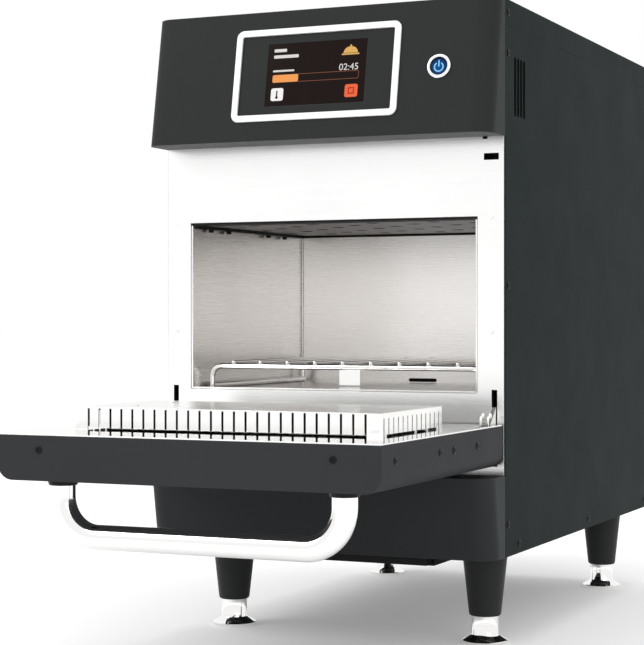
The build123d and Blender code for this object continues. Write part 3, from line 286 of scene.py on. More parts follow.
# %% Powder paint
def powder_paint(name, colour, edge_colour, sheen_level, low=0.46, high=0.5):
    material, tree, shader = start(name, Specular_IOR_Level=sheen_level)
    peel = use(tree, grain_group, Fineness=900.0, Detail=2.0)
    cloud = use(tree, handling_group, Size=0.35)["Mask"]
    edge = use(tree, edge_group, Radius=0.0012, Break_Up=0.25)
    deep = tuple(v * 0.95 for v in colour[:3]) + (1,)
    tone = blend_colours(tree, cloud, deep, colour)
    worn = node(tree, "Math", {0: edge["Mask"], 1: 0.7}, operation="MULTIPLY").outputs[0]
    tree.links.new(blend_colours(tree, worn, tone, edge_colour), shader.inputs["Base Color"])
    touched = use(tree, handling_group, Size=0.06)["Mask"]
    tree.links.new(spread(tree, touched, low, high), shader.inputs["Roughness"])
    bump(tree, shader, peel["Height"], 0.06, 0.0004, edge["Normal"])
    return material


casing_paint = powder_paint("casing_paint", (0.0105, 0.0163, 0.0160, 1), (0.045, 0.051, 0.051, 1), 0.02)
hood_paint = powder_paint("hood_paint", (0.0275, 0.0300, 0.0295, 1), (0.075, 0.078, 0.078, 1), 0.05)
door_paint = powder_paint("door_paint", (0.0390, 0.0405, 0.0430, 1), (0.08, 0.082, 0.084, 1), 0.025)
cover_paint = powder_paint("cover_paint", (0.0335, 0.0355, 0.0375, 1), (0.075, 0.078, 0.08, 1), 0.05)
print("paints ready")


# %% [markdown]
# The front, the chamber and the door's inner side are stainless steel. Rolling and brushing leave hair
# lines along the sheet, which blur a reflection across them. The lines are drawn-out grain, in the tone,
# the roughness and the relief at once. Inside the chamber heat has left a warm grey tint. The plate over
# the chamber is blackened. The door's plate turns black above a given height, over its pan, as painted
# shade for the dark gap under the choke's fingers.


# %% Steels
BRUSHING = 2400.0
PAINTED_SHADE_COLOUR = (0.012, 0.012, 0.012, 1)
SHADE_EDGE = 0.0001


def steel(name, colour, draw, low, high, depth=0.05, tint=None, shaded_above=None, **constants):
    """Brushed sheet. Draw stretches the grain, so a small number is the way that the lines run."""
    material, tree, shader = start(name, **{"Metallic": 1.0, **constants})
    lines = use(tree, grain_group, Fineness=BRUSHING, Draw=draw, Detail=5.0)
    cloud = use(tree, handling_group, Size=0.16)["Mask"]
    edge = use(tree, edge_group, Radius=0.0006, Break_Up=0.0)
    deep = tuple(v * 0.965 for v in colour[:3]) + (1,)
    tone = blend_colours(tree, lines["Shade"], deep, colour)
    tone = blend_colours(tree, cloud, tone, tint or colour)
    # Above a given height the tone turns black, as painted shade for the gap under the choke's fingers.
    if shaded_above is not None:
        place = node(tree, "TexCoord").outputs["Object"]
        height = node(tree, "SeparateXYZ", {0: place}).outputs[2]
        shade_mask = spread(tree, height, 0, 1, shaded_above, shaded_above + SHADE_EDGE)
        tone = blend_colours(tree, shade_mask, tone, PAINTED_SHADE_COLOUR)
    tree.links.new(tone, shader.inputs["Base Color"])
    lined = spread(tree, lines["Shade"], low, high)
    wiped = spread(tree, cloud, -0.015, 0.015)
    rough = node(tree, "Math", {0: lined, 1: wiped}, operation="ADD").outputs[0]
    tree.links.new(rough, shader.inputs["Roughness"])
    bump(tree, shader, lines["Height"], depth, 0.00004, edge["Normal"])
    return material


PLATE_SHEET = 0.0013
# From just above its sheet the door's plate is painted black, as shade under the choke's fingers.
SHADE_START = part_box("door_inner_plate")[0].z + PLATE_SHEET + 0.0002
front_steel = steel("front_steel", (0.955, 0.955, 0.95, 1), (0.004, 1, 1), 0.22, 0.28)
liner_steel = steel("liner_steel", (0.875, 0.85, 0.83, 1), (0.006, 0.006, 1), 0.25, 0.31,
                    tint=(0.855, 0.83, 0.81, 1))
jet_steel = steel("jet_steel", (0.06, 0.058, 0.055, 1), (0.01, 1, 1), 0.34, 0.42, Metallic=0.0,
                  Specular_IOR_Level=0.1)
plate_steel = steel("plate_steel", (0.93, 0.93, 0.92, 1), (0.004, 1, 1), 0.05, 0.08, depth=0.02,
                    shaded_above=SHADE_START)
choke_steel = steel("choke_steel", (0.90, 0.895, 0.88, 1), (1, 0.006, 1), 0.18, 0.24)
handle_steel = steel("handle_steel", (0.93, 0.925, 0.915, 1), (0.006, 1, 1), 0.06, 0.1, depth=0.02)
wire_steel = steel("wire_steel", (0.9, 0.895, 0.88, 1), (1, 0.01, 1), 0.05, 0.09, depth=0.02)
hinge_steel = steel("hinge_steel", (0.8, 0.79, 0.76, 1), (1, 0.02, 1), 0.2, 0.28)
print("steels ready")

# %% [markdown]
# The plate on the chamber's floor is pressed with shallow overlapping scales, which keep it stiff when it
# is hot. Cells of a Voronoi texture, drawn out to the sides, give such dents. They go into the relief, and
# into the tone as painted shade that darkens the hollows.

# %% Pressed floor plate
floor_steel, tree, shader = start("floor_steel", Metallic=1.0)
place = node(tree, "TexCoord").outputs["Object"]
drawn = node(tree, "VectorMath", {0: place, 1: (0.55, 1, 1)}, operation="MULTIPLY").outputs[0]
scales = node(tree, "TexVoronoi", {"Vector": drawn, "Scale": 105.0, "Randomness": 0.75}).outputs["Distance"]
hollow_and_shade = spread(tree, scales, 0, 1, 0.1, 0.6)
fine = use(tree, grain_group, Fineness=1800.0, Detail=2.0)
# The hollows are darker in the tone: painted shade.
tree.links.new(blend_colours(tree, hollow_and_shade, (0.97, 0.96, 0.95, 1), (0.66, 0.65, 0.64, 1)),
               shader.inputs["Base Color"])
tree.links.new(spread(tree, fine["Shade"], 0.2, 0.3), shader.inputs["Roughness"])
bump(tree, shader, hollow_and_shade, 0.35, 0.0006)
print("floor plate ready")

# %% [markdown]
# Turned and polished parts, such as the feet, the button's ring and the screen's frame, mirror the room
# clearly. Lathe marks run round them, so the grain is drawn out along the surface and only fine lines stay.


# %% Bright parts
def bright(name, colour, low, high, draw=(0.02, 0.02, 1)):
    material, tree, shader = start(name, Metallic=1.0)
    turned = use(tree, grain_group, Fineness=900.0, Draw=draw, Detail=2.0)
    touched = use(tree, handling_group, Size=0.03)["Mask"]
    deep = tuple(v * 0.95 for v in colour[:3]) + (1,)
    tree.links.new(blend_colours(tree, turned["Shade"], deep, colour), shader.inputs["Base Color"])
    tree.links.new(spread(tree, touched, low, high), shader.inputs["Roughness"])
    bump(tree, shader, turned["Height"], 0.04, 0.00002)
    return material


foot_chrome = bright("foot_chrome", (0.93, 0.92, 0.905, 1), 0.03, 0.06)
button_chrome = bright("button_chrome", (0.96, 0.96, 0.96, 1), 0.1, 0.16)
print("bright parts ready")

# %% [markdown]
# The frame of the screen is cast in a pale silver that is nearly white. It is painted rather than bare
# metal, so it is a light satin surface with fine flakes in it.

# %% Silver ring
silver_paint, tree, shader = start("silver_paint", Metallic=0.0, Coat_Weight=0.2)
flakes = use(tree, grain_group, Fineness=2600.0, Detail=1.0)
soft = use(tree, handling_group, Size=0.05)["Mask"]
edge = use(tree, edge_group, Radius=0.0005, Break_Up=0.0)
tree.links.new(blend_colours(tree, flakes["Shade"], (0.86, 0.865, 0.87, 1), (0.95, 0.95, 0.95, 1)),
               shader.inputs["Base Color"])
tree.links.new(spread(tree, soft, 0.25, 0.34), shader.inputs["Roughness"])
bump(tree, shader, flakes["Height"], 0.05, 0.00005, edge["Normal"])
print("silver ring ready")


# %% [markdown]
# Moulded plastic is matt with a fine spark-eroded grain. The legs are the largest such pieces that show.


# %% Plastics and blackened steel
def plastic(name, colour, low, high, relief=0.2, fineness=1500.0):
    material, tree, shader = start(name, Specular_IOR_Level=0.12)
    pores = use(tree, grain_group, Fineness=fineness, Detail=4.0)
    touched = use(tree, handling_group, Size=0.05)["Mask"]
    edge = use(tree, edge_group, Radius=0.0008, Break_Up=0.1)
    light = tuple(v * 1.5 + 0.004 for v in colour[:3]) + (1,)
    tone = blend_colours(tree, pores["Shade"], colour, light)
    tree.links.new(blend_colours(tree, edge["Mask"], tone, light), shader.inputs["Base Color"])
    tree.links.new(spread(tree, touched, low, high), shader.inputs["Roughness"])
    bump(tree, shader, pores["Height"], relief, 0.0001, edge["Normal"])
    return material


leg_plastic = plastic("leg_plastic", (0.0205, 0.0220, 0.0215, 1), 0.42, 0.52)
black_plastic = plastic("black_plastic", (0.008, 0.008, 0.008, 1), 0.4, 0.55)
black_screw = plastic("black_screw", (0.006, 0.006, 0.006, 1), 0.28, 0.4, relief=0.08)
# This black is the own colour of the rails, the nuts and the blower housing, and painted shade on the
# converter, the hinge receivers, the air filter and its rails, and the strip over the opening.
black_lacquer_and_shade = plastic("black_lacquer_and_shade", (0.004, 0.004, 0.004, 1), 0.4, 0.5, relief=0.1)
print("plastics ready")

# %% [markdown]
# Zinc-coated sheet inside the casing has crystals, the spangle, each with its own grey and its own sheen. A
# Voronoi texture gives such cells. The cast and woven aluminium parts are plainer and more matt.

# %% Zinc, aluminium, insulation and circuit board
zinc, tree, shader = start("zinc_sheet", Metallic=1.0)
place = node(tree, "TexCoord").outputs["Object"]
cells = node(tree, "TexVoronoi", {"Vector": place, "Scale": 110.0, "Randomness": 1.0}).outputs["Color"]
spangle = node(tree, "SeparateColor", {"Color": cells}).outputs[0]
edge = use(tree, edge_group, Radius=0.0005, Break_Up=0.0)
tree.links.new(blend_colours(tree, spangle, (0.42, 0.44, 0.46, 1), (0.6, 0.62, 0.63, 1)),
               shader.inputs["Base Color"])
tree.links.new(spread(tree, spangle, 0.32, 0.52), shader.inputs["Roughness"])
bump(tree, shader, spangle, 0.05, 0.0001, edge["Normal"])

aluminium, tree, shader = start("aluminium", Metallic=1.0)
cast = use(tree, grain_group, Fineness=500.0, Detail=5.0)
tree.links.new(blend_colours(tree, cast["Shade"], (0.5, 0.5, 0.5, 1), (0.66, 0.66, 0.66, 1)),
               shader.inputs["Base Color"])
tree.links.new(spread(tree, cast["Shade"], 0.35, 0.55), shader.inputs["Roughness"])
bump(tree, shader, cast["Height"], 0.2, 0.0002)

blanket, tree, shader = start("fibre_blanket", Sheen_Weight=0.4, Roughness=0.95)
fibres = use(tree, grain_group, Fineness=420.0, Draw=(1, 0.25, 1), Detail=8.0)
tree.links.new(blend_colours(tree, fibres["Shade"], (0.62, 0.58, 0.48, 1), (0.86, 0.84, 0.78, 1)),
               shader.inputs["Base Color"])
bump(tree, shader, fibres["Height"], 0.9, 0.002)

board, tree, shader = start("circuit_board", Coat_Weight=0.3)
place = node(tree, "TexCoord").outputs["Object"]
tracks = node(tree, "TexBrick", {"Vector": place, "Scale": 90.0, "Color1": (0.012, 0.09, 0.03, 1),
              "Color2": (0.016, 0.12, 0.04, 1), "Mortar": (0.05, 0.24, 0.08, 1), "Mortar Size": 0.03})
tree.links.new(tracks.outputs["Color"], shader.inputs["Base Color"])
tree.links.new(spread(tree, tracks.outputs["Fac"], 0.35, 0.5), shader.inputs["Roughness"])
bump(tree, shader, tracks.outputs["Fac"], 0.3, 0.0001)
print("inner finishes ready")

# %% [markdown]
# The touch screen is black glass with a faint warm glow where its backlight shines through. Fine rows of
# picture elements show from close by, so the glow is broken up by a brick texture at their pitch.

# %% Screen glass and glowing shapes
PIXEL = 0.00027


def pixel_rows(tree, colour, gap):
    """A colour broken into picture elements, for anything that the screen shows."""
    place = node(tree, "TexCoord").outputs["Object"]
    sizes = {"Scale": 1.0 / PIXEL / 4, "Mortar Size": 0.02, "Brick Width": 0.5, "Row Height": 0.5}
    colours = {"Color1": colour, "Color2": colour, "Mortar": gap}
    dots = node(tree, "TexBrick", {"Vector": place, **sizes, **colours}, offset=0.0)
    return dots.outputs["Color"]


screen_glass, tree, shader = start("screen_glass", Specular_IOR_Level=0.05, Emission_Strength=1.0)
touched = use(tree, handling_group, Size=0.025)["Mask"]
tree.links.new(spread(tree, touched, 0.08, 0.12), shader.inputs["Roughness"])
shader.inputs["Base Color"].default_value = (0.004, 0.003, 0.003, 1)
glow = pixel_rows(tree, (0.010, 0.0052, 0.0045, 1), (0.005, 0.003, 0.003, 1))
tree.links.new(glow, shader.inputs["Emission Color"])


def glowing(name, colour, strength=1.0, gap=0.72):
    """Something lit on the screen: nearly black by itself, with its light broken into picture elements."""
    material, tree, shader = start(name, Specular_IOR_Level=0.05, Emission_Strength=strength)
    base = use(tree, handling_group, Size=0.02)["Mask"]
    tree.links.new(spread(tree, base, 0.2, 0.35), shader.inputs["Roughness"])
    shader.inputs["Base Color"].default_value = (0.01, 0.01, 0.01, 1)
    dim = tuple(v * gap for v in colour[:3]) + (1,)
    tree.links.new(pixel_rows(tree, colour, dim), shader.inputs["Emission Color"])
    return material


label_light = glowing("label_light", srgb(226, 222, 218))
bar_light = glowing("bar_light", srgb(246, 160, 84))
outline_light = glowing("outline_light", srgb(150, 92, 64))
tile_white = glowing("tile_white", srgb(250, 246, 246))
tile_red = glowing("tile_red", srgb(240, 104, 62))
icon_dark = glowing("icon_dark", srgb(28, 22, 22))
icon_red = glowing("icon_red", srgb(196, 44, 20))
icon_gold = glowing("icon_gold", srgb(226, 176, 96))
print("screen finishes ready")

# %% [markdown]
# The power button is a blue cap lit from behind. The light is stronger in the middle than at the rim, which
# a soft radial fall-off gives: the distance from the cap's middle, measured in the cap's own place.

# %% Lit button
button_low, button_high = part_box("power_button")
button_middle = (button_low + button_high) / 2
button_blue, tree, shader = start("button_blue", Specular_IOR_Level=0.08, Emission_Strength=1.0)
place = node(tree, "TexCoord").outputs["Object"]
cap_middle = (button_middle.x, button_low.y, button_middle.z)
away = node(tree, "VectorMath", {0: place, 1: cap_middle}, operation="DISTANCE")
fall = spread(tree, away.outputs["Value"], 0.0, 1.0, 0.0045, 0.0088)
tree.links.new(blend_colours(tree, fall, srgb(4, 74, 134), srgb(4, 14, 44)), shader.inputs["Emission Color"])
shader.inputs["Base Color"].default_value = (0.002, 0.006, 0.014, 1)
mist = use(tree, handling_group, Size=0.01)["Mask"]
tree.links.new(spread(tree, mist, 0.12, 0.24), shader.inputs["Roughness"])
symbol_light = glowing("symbol_light", srgb(136, 208, 250), gap=0.92)
print("button ready")

# %% [markdown]
# Each CAD node now gets its finish. Assigning to the material slots changes no mesh, so the frame stays as
# it was imported.

# %% Dress the CAD nodes
finishes = {
    # The chassis base wears the casing's paint, which keeps the underside dark as painted shade.
    casing_paint: ["side_panel_left", "side_panel_right", "top_cover", "rear_panel", "chassis_base"],
    hood_paint: ["control_housing"],
    cover_paint: ["lower_front_cover"],
    door_paint: ["door_outer_skin", "door_end_cap"],
    front_steel: ["front_frame"],
    liner_steel: ["cavity_liner"],
    floor_steel: ["floor_plate"],
    jet_steel: ["top_jet_plate"],
    # The converter and the hinge receivers are black as painted shade in their slots, the air filter and its
    # rails as painted shade under the oven.
    black_lacquer_and_shade: ["jet_plate_rails", "air_filter", "filter_rails", "catalytic_converter", "hinge_receivers",
                    "blower_housing"],
    plate_steel: ["door_inner_plate"],
    choke_steel: ["choke_cover", "interlock_tongue"],
    handle_steel: ["door_handle"],
    wire_steel: ["wire_rack"],
    hinge_steel: ["hinge_arms", "hinge_pins", "blower_shaft", "heating_element"],
    foot_chrome: ["foot_front_left", "foot_front_right", "foot_rear_left", "foot_rear_right"],
    button_chrome: ["power_button_bezel"],
    silver_paint: ["display_ring"],
    screen_glass: ["display_glass"],
    button_blue: ["power_button"],
    leg_plastic: ["legs"],
    black_plastic: ["power_switch", "cable_gland", "interlock_switch", "cooling_fan_frame",
                    "cooling_fan_wheel", "display_module"],
    black_screw: ["casing_screws", "door_screws", "handle_pads"],
    zinc: ["hinge_channels", "hinge_springs", "component_shelf", "blower_wheel", "waveguide", "magnetron",
           "transformer"],
    aluminium: ["stirrer", "capacitor", "blower_motor", "stirrer_motor"],
    blanket: ["cavity_insulation", "door_insulation"],
    board: ["power_board"],
}
for material, names in finishes.items():
    for name in names:
        slots = nodes[name].data.materials
        slots.clear()
        slots.append(material)
left_out = sorted(set(nodes) - {name for names in finishes.values() for name in names})
print("nodes without a finish", left_out)


# %% [markdown]
# New pieces are written as bmesh code. One helper turns a bmesh into an object that rides on a body and
# gives it its material, and another turns a profile round an axis, as a lathe would.


# %% Piece helpers
def add_piece(name, mesh, material, body, smooth=True):
    """Makes an object of a bmesh, shaded smooth apart from edges that turn by more than 35 degrees."""
    bmesh.ops.recalc_face_normals(mesh, faces=mesh.faces)
    data = bpy.data.meshes.new(name)
    mesh.to_mesh(data)
    mesh.free()
    data.materials.append(material)
    if smooth:
        data.shade_smooth()
        data.set_sharp_from_angle(angle=math.radians(35))
    piece = bpy.data.objects.new(name, data)
    bpy.context.scene.collection.objects.link(piece)
    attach(piece, body)
    return piece


def lathe(mesh, profile, place, axis=(0, 0, 1), segments=64):
    """Turns a closed profile of (radius, height) points round an axis. Radius 0 lies on the axis."""
    turn = Vector((0, 0, 1)).rotation_difference(Vector(axis)).to_matrix().to_4x4()
    matrix = Matrix.Translation(Vector(place)) @ turn
    rings = []
    for radius, height in profile:
        if radius == 0:
            rings.append([mesh.verts.new(matrix @ Vector((0, 0, height)))] * segments)
            continue
        angles = [2 * math.pi * step / segments for step in range(segments)]
        rings.append([mesh.verts.new(matrix @ Vector((radius * math.cos(a), radius * math.sin(a), height)))
                      for a in angles])
    for lower, upper in zip(rings, rings[1:] + rings[:1]):
        for step in range(segments):
            after = (step + 1) % segments
            corners = [lower[step], lower[after], upper[after], upper[step]]
            single = list(dict.fromkeys(corners))
            if len(single) > 2:
                mesh.faces.new(single)


print("helpers ready")

# %% [markdown]
# The oven stands on four tapered plastic legs with turned chrome feet. A mould leaves a small rounding at
# the cone's lower end, and a lathe leaves a broken edge on the foot's rim and a hollow where the flare
# meets the stem.

# %% Legs and feet
CHAMFER = 0.0012
leg_low, leg_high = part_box("legs")
corners = ("front_left", "front_right", "rear_left", "rear_right")
foot_boxes = {corner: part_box("foot_" + corner) for corner in corners}
LEG_TOP = 0.024
LEG_BOTTOM = 0.0165
STEM = 0.014
RIM = 0.0038
FLARE = 0.009
legs_mesh = bmesh.new()
for corner, (low, high) in foot_boxes.items():
    middle = (low + high) / 2
    profile = [(0, leg_high.z), (LEG_TOP, leg_high.z), (LEG_BOTTOM + 0.0002, leg_low.z + 2 * CHAMFER),
               (LEG_BOTTOM - 0.0002, leg_low.z + CHAMFER * 0.9), (LEG_BOTTOM - CHAMFER, leg_low.z),
               (0, leg_low.z)]
    lathe(legs_mesh, profile, (middle.x, middle.y, 0))
leg_cones = add_piece("leg_cones", legs_mesh, leg_plastic, "cabinet")
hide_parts("legs")
for corner, (low, high) in foot_boxes.items():
    middle = (low + high) / 2
    radius = (high.x - low.x) / 2
    profile = [(0, 0), (radius - 0.0008, 0), (radius, 0.0006), (radius, RIM - 0.0006), (radius - 0.0005, RIM)]
    profile += [(radius - 0.0012, RIM + 0.0002), (STEM + 0.0012, FLARE - 0.0006)]
    profile += [(STEM + 0.0004, FLARE - 0.0001), (STEM, FLARE + 0.0006)]
    profile += [(STEM, leg_low.z - 0.0003), (0, leg_low.z - 0.0003)]
    foot_mesh = bmesh.new()
    lathe(foot_mesh, profile, (middle.x, middle.y, 0), segments=160)
    foot = add_piece("turned_foot_" + corner, foot_mesh, foot_chrome, "foot_" + corner)
    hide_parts("foot_" + corner)


# %% [markdown]
# A screw head is a small dome with a cross recess. The CAD screws are plain discs on a shank, so each one
# is found in its node, and a domed head with a sunk cross is put where it sits. Welding a copy of the
# node's mesh and walking from face to face finds one screw after the other.


# %% Screw heads
def solids_of(name):
    """The boxes of the separate solids in a CAD node, as (lowest, highest) corners."""
    mesh = bmesh.new()
    mesh.from_mesh(nodes[name].data)
    bmesh.ops.remove_doubles(mesh, verts=mesh.verts, dist=1e-6)
    left = set(mesh.verts)
    boxes = []
    while left:
        group, queue = set(), [next(iter(left))]
        while queue:
            vertex = queue.pop()
            if vertex in group:
                continue
            group.add(vertex)
            queue += [edge.other_vert(vertex) for edge in vertex.link_edges]
        left -= group
        points = [vertex.co for vertex in group]
        boxes.append((Vector(min(p[k] for p in points) for k in range(3)),
                      Vector(max(p[k] for p in points) for k in range(3))))
    mesh.free()
    return sorted(boxes, key=lambda box: tuple(round(v, 5) for v in box[0]))


def screw_head(mesh, place, outward, radius, height, turn):
    """A domed head whose top sinks where the cross recess is."""
    rings, steps = 14, 64
    spin = Matrix.Rotation(turn, 4, "Z")
    lean = Vector((0, 0, 1)).rotation_difference(outward).to_matrix().to_4x4()
    matrix = Matrix.Translation(place) @ lean @ spin
    arm, width = radius * 0.6, radius * 0.17
    rows = [[mesh.verts.new(matrix @ Vector((0, 0, height * 0.35)))] * steps]
    for ring in range(1, rings + 1):
        reach = radius * ring / rings
        row = []
        for step in range(steps):
            x, y = (reach * f(2 * math.pi * step / steps) for f in (math.cos, math.sin))
            dome = height * (1 - 0.45 * (ring / rings) ** 3)
            in_cross = (abs(x) < width and abs(y) < arm) or (abs(y) < width and abs(x) < arm)
            row.append(mesh.verts.new(matrix @ Vector((x, y, height * 0.35 if in_cross else dome))))
        rows.append(row)
    rows.append([mesh.verts.new(matrix @ Vector((radius * math.cos(2 * math.pi * s / steps),
                                                 radius * math.sin(2 * math.pi * s / steps), 0)))
                 for s in range(steps)])
    rows.append([mesh.verts.new(matrix @ Vector((0, 0, 0)))] * steps)
    for inner, outer in zip(rows, rows[1:]):
        for step in range(steps):
            after = (step + 1) % steps
            single = list(dict.fromkeys([inner[step], outer[step], outer[after], inner[after]]))
            if len(single) > 2:
                mesh.faces.new(single)


def screw_seat(box):
    """Where a CAD screw's head sits, which way it faces, and the head's radius."""
    low, high = box
    size = high - low
    axis = min(range(3), key=lambda k: abs(size[(k + 1) % 3] - size[(k + 2) % 3]))
    radius = size[(axis + 1) % 3] / 2
    outward = Vector((0, 0, 0))
    if axis == 0:
        outward.x = 1 if low.x > 0 else -1
    elif axis == 1:
        outward.y = -1
    else:
        outward.z = 1
    place = (low + high) / 2
    place[axis] = high[axis] if outward[axis] > 0 else low[axis]
    return place, outward, radius


HEADS = {"casing_screws": ("cabinet", {0.0034: 0.0011, 0.0022: 0.0006}),
         "door_screws": ("door", {0.0034: 0.0011})}
FRAME_HEAD = 0.003
for name, (body, heights) in HEADS.items():
    dark_heads, bright_heads = bmesh.new(), bmesh.new()
    count = 0
    for box in solids_of(name):
        place, outward, radius = screw_seat(box)
        height = min(heights.items(), key=lambda pair: abs(pair[0] - radius))[1]
        if outward.z > 0:
            height = 0.0008
        polished = outward.z > 0 or radius < FRAME_HEAD
        count += 1
        heads = bright_heads if polished else dark_heads
        screw_head(heads, place - outward * height, outward, radius, height, turn=count * 0.9)
    piece = add_piece(name.replace("screws", "screw_heads"), dark_heads, black_screw, body)
    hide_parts(name)
    label = "frame_screw_heads" if body == "cabinet" else "choke_screw_heads"
    add_piece(label, bright_heads, choke_steel, body)
    print(name, count, "heads")

# %% [markdown]
# The opening has a narrow bright trim just inside the edge of the front sheet, with a dark seam between
# them. It is a folded strip on both sides and below. Along the top lies a black strip instead, as painted
# shade under the front sheet's edge.


# %% Trim of the opening
def strip(mesh, low, high, rounding=0.0003):
    """A bar between two corners with broken edges."""
    made = bmesh.ops.create_cube(mesh, size=1.0)
    size, middle = Vector(high) - Vector(low), (Vector(high) + Vector(low)) / 2
    bmesh.ops.scale(mesh, vec=size, verts=made["verts"])
    bmesh.ops.translate(mesh, vec=middle, verts=made["verts"])
    edges = list({edge for vertex in made["verts"] for edge in vertex.link_edges})
    bmesh.ops.bevel(mesh, geom=edges, offset=rounding, segments=2, affect="EDGES", profile=0.7)


frame_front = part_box("front_frame")[0].y
liner_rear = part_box("floor_plate")[1].y
OPENING_HALF = 0.1615
OPENING = (0.2600, 0.4366)
TRIM_WIDTH = 0.0018
TRIM_GAP = 0.0006
trim_y = (frame_front + 0.0006, frame_front + 0.0022)
trim_mesh = bmesh.new()
for side in (-1, 1):
    edges = sorted((side * (OPENING_HALF - TRIM_GAP), side * (OPENING_HALF - TRIM_GAP - TRIM_WIDTH)))
    strip(trim_mesh, (edges[0], trim_y[0], OPENING[0] + TRIM_GAP), (edges[1], trim_y[1], OPENING[1] - 0.003))
inner = OPENING_HALF - TRIM_GAP - TRIM_WIDTH - 0.0001
trim_z = (OPENING[0] + TRIM_GAP, OPENING[0] + TRIM_GAP + TRIM_WIDTH)
strip(trim_mesh, (-inner, trim_y[0], trim_z[0]), (inner, trim_y[1], trim_z[1]))
add_piece("opening_trim", trim_mesh, choke_steel, "cabinet")
# The black strip along the top is painted shade under the front sheet's edge.
SHADE_STRIP_HEIGHT = (0.0022, 0.0003)
SHADE_STRIP_DEPTH = 0.004
shade_strip_mesh = bmesh.new()
outer = OPENING_HALF - TRIM_GAP
strip(shade_strip_mesh, (-outer, trim_y[0], OPENING[1] - SHADE_STRIP_HEIGHT[0]),
      (outer, trim_y[1] + SHADE_STRIP_DEPTH, OPENING[1] - SHADE_STRIP_HEIGHT[1]))
add_piece("opening_shade_strip", shade_strip_mesh, black_lacquer_and_shade, "cabinet")
print("trim width", TRIM_WIDTH, "opening", OPENING)

# %% [markdown]
# Under the rails of the jet plate hang the nuts of its clamps: small black hexagons with a washer. The two
# rear corners of the chamber have a rolled bead, which shows as a dark upright line between the bright
# walls.

# %% Rail nuts and corner beads
rail_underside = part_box("jet_plate_rails")[0].z
NUT_ROWS = (-0.098, -0.056, 0.044, 0.088)
NUT_INSET = 0.0045
WASHER_RADIUS = 0.0036
WASHER = 0.0006
NUT_RADIUS = 0.0029
NUT_HEIGHT = 0.003
NUT_EDGE = 0.0004
nut_mesh = bmesh.new()
washer_profile = [(0, 0), (WASHER_RADIUS, 0), (WASHER_RADIUS, -WASHER), (0, -WASHER)]
nut_profile = [(0, -WASHER), (NUT_RADIUS, -WASHER), (NUT_RADIUS, NUT_EDGE - NUT_HEIGHT),
               (NUT_RADIUS - 0.0005, -NUT_HEIGHT), (0, -NUT_HEIGHT)]
for side in (-1, 1):
    for y in NUT_ROWS:
        place = (side * (OPENING_HALF - NUT_INSET), y, rail_underside)
        lathe(nut_mesh, washer_profile, place, segments=24)
        lathe(nut_mesh, nut_profile, place, segments=6)
add_piece("rail_nuts", nut_mesh, black_lacquer_and_shade, "cabinet")
post_mesh = bmesh.new()
BEAD = 0.0011
CLEARANCE = 0.0003
post_low, post_high = OPENING[0] + CLEARANCE, rail_underside - CLEARANCE
post_profile = [(0, post_low), (BEAD, post_low), (BEAD, post_high), (0, post_high)]
for side in (-1, 1):
    place = (side * (OPENING_HALF - BEAD), liner_rear + CLEARANCE - BEAD, 0)
    lathe(post_mesh, post_profile, place, segments=24)
add_piece("corner_beads", post_mesh, hinge_steel, "cabinet")
print("nuts", 2 * len(NUT_ROWS), "beads", 2)

# %% [markdown]
# The rear panel is held by eight screws along its border. They have the same domed head with a cross
# recess.

# %% Rear screws
panel_low, panel_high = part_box("rear_panel")
PANEL_EDGE = 0.011
REAR_HEAD = 0.0034
REAR_HEAD_HEIGHT = 0.0011
rear_mesh = bmesh.new()
rear_count = 0
for x in (panel_low.x + PANEL_EDGE, panel_high.x - PANEL_EDGE):
    for share in (0.03, 0.34, 0.66, 0.97):
        z = panel_low.z + (panel_high.z - panel_low.z) * share
        rear_count += 1
        place = Vector((x, panel_high.y, z))
        screw_head(rear_mesh, place, Vector((0, 1, 0)), REAR_HEAD, REAR_HEAD_HEIGHT, turn=rear_count * 0.7)
add_piece("rear_screw_heads", rear_mesh, black_screw, "cabinet")
print("rear screws", rear_count)

# %% [markdown]
# Beside each hinge arm stand two bent hooks. Each is a thin crescent cut from sheet, so its outline is two
# arcs that meet in a point at the top and leave a wider foot.

# %% Hinge hooks
HOOK_SHEET = 0.0012
HOOK_Y, HOOK_Z = -0.1610, 0.2300
HINGE_X = 0.179
HOOK_OFFSET = 0.0038
HOOK_FROM, HOOK_TO = 200, 50
ARC_STEPS = 12
# Each arc has its middle's offset from the hook's place, then its half width and half height
OUTER_ARC = (0.0, 0.003, 0.0075, 0.0095)
INNER_ARC = (-0.0005, 0.001, 0.0045, 0.0075)


def hook_arc(arc, first, last):
    """Points of an elliptic arc between two angles in degrees."""
    y, z, half_width, half_height = arc
    angles = [math.radians(first + (last - first) * step / ARC_STEPS) for step in range(ARC_STEPS + 1)]
    return [(HOOK_Y + y + half_width * math.cos(a), HOOK_Z + z + half_height * math.sin(a)) for a in angles]


hook_mesh = bmesh.new()
for side in (-1, 1):
    for offset in (-HOOK_OFFSET, HOOK_OFFSET):
        middle = side * HINGE_X + offset
        outline = hook_arc(OUTER_ARC, HOOK_FROM, HOOK_TO) + hook_arc(INNER_ARC, HOOK_TO, HOOK_FROM)
        rows = [[hook_mesh.verts.new((middle + x, y, z)) for y, z in outline]
                for x in (-HOOK_SHEET / 2, HOOK_SHEET / 2)]
        hook_mesh.faces.new(rows[0])
        hook_mesh.faces.new(rows[1][::-1])
        for step in range(len(outline)):
            after = (step + 1) % len(outline)
            hook_mesh.faces.new([rows[0][step], rows[1][step], rows[1][after], rows[0][after]])
add_piece("hinge_hooks", hook_mesh, choke_steel, "cabinet")
print("hooks at", HOOK_Y, HOOK_Z)

# %% [markdown]
# The handle stands on two low black collars. They are wider at the door than at the tube, so each is a
# turned frustum with a broken edge in place of the plain disc.

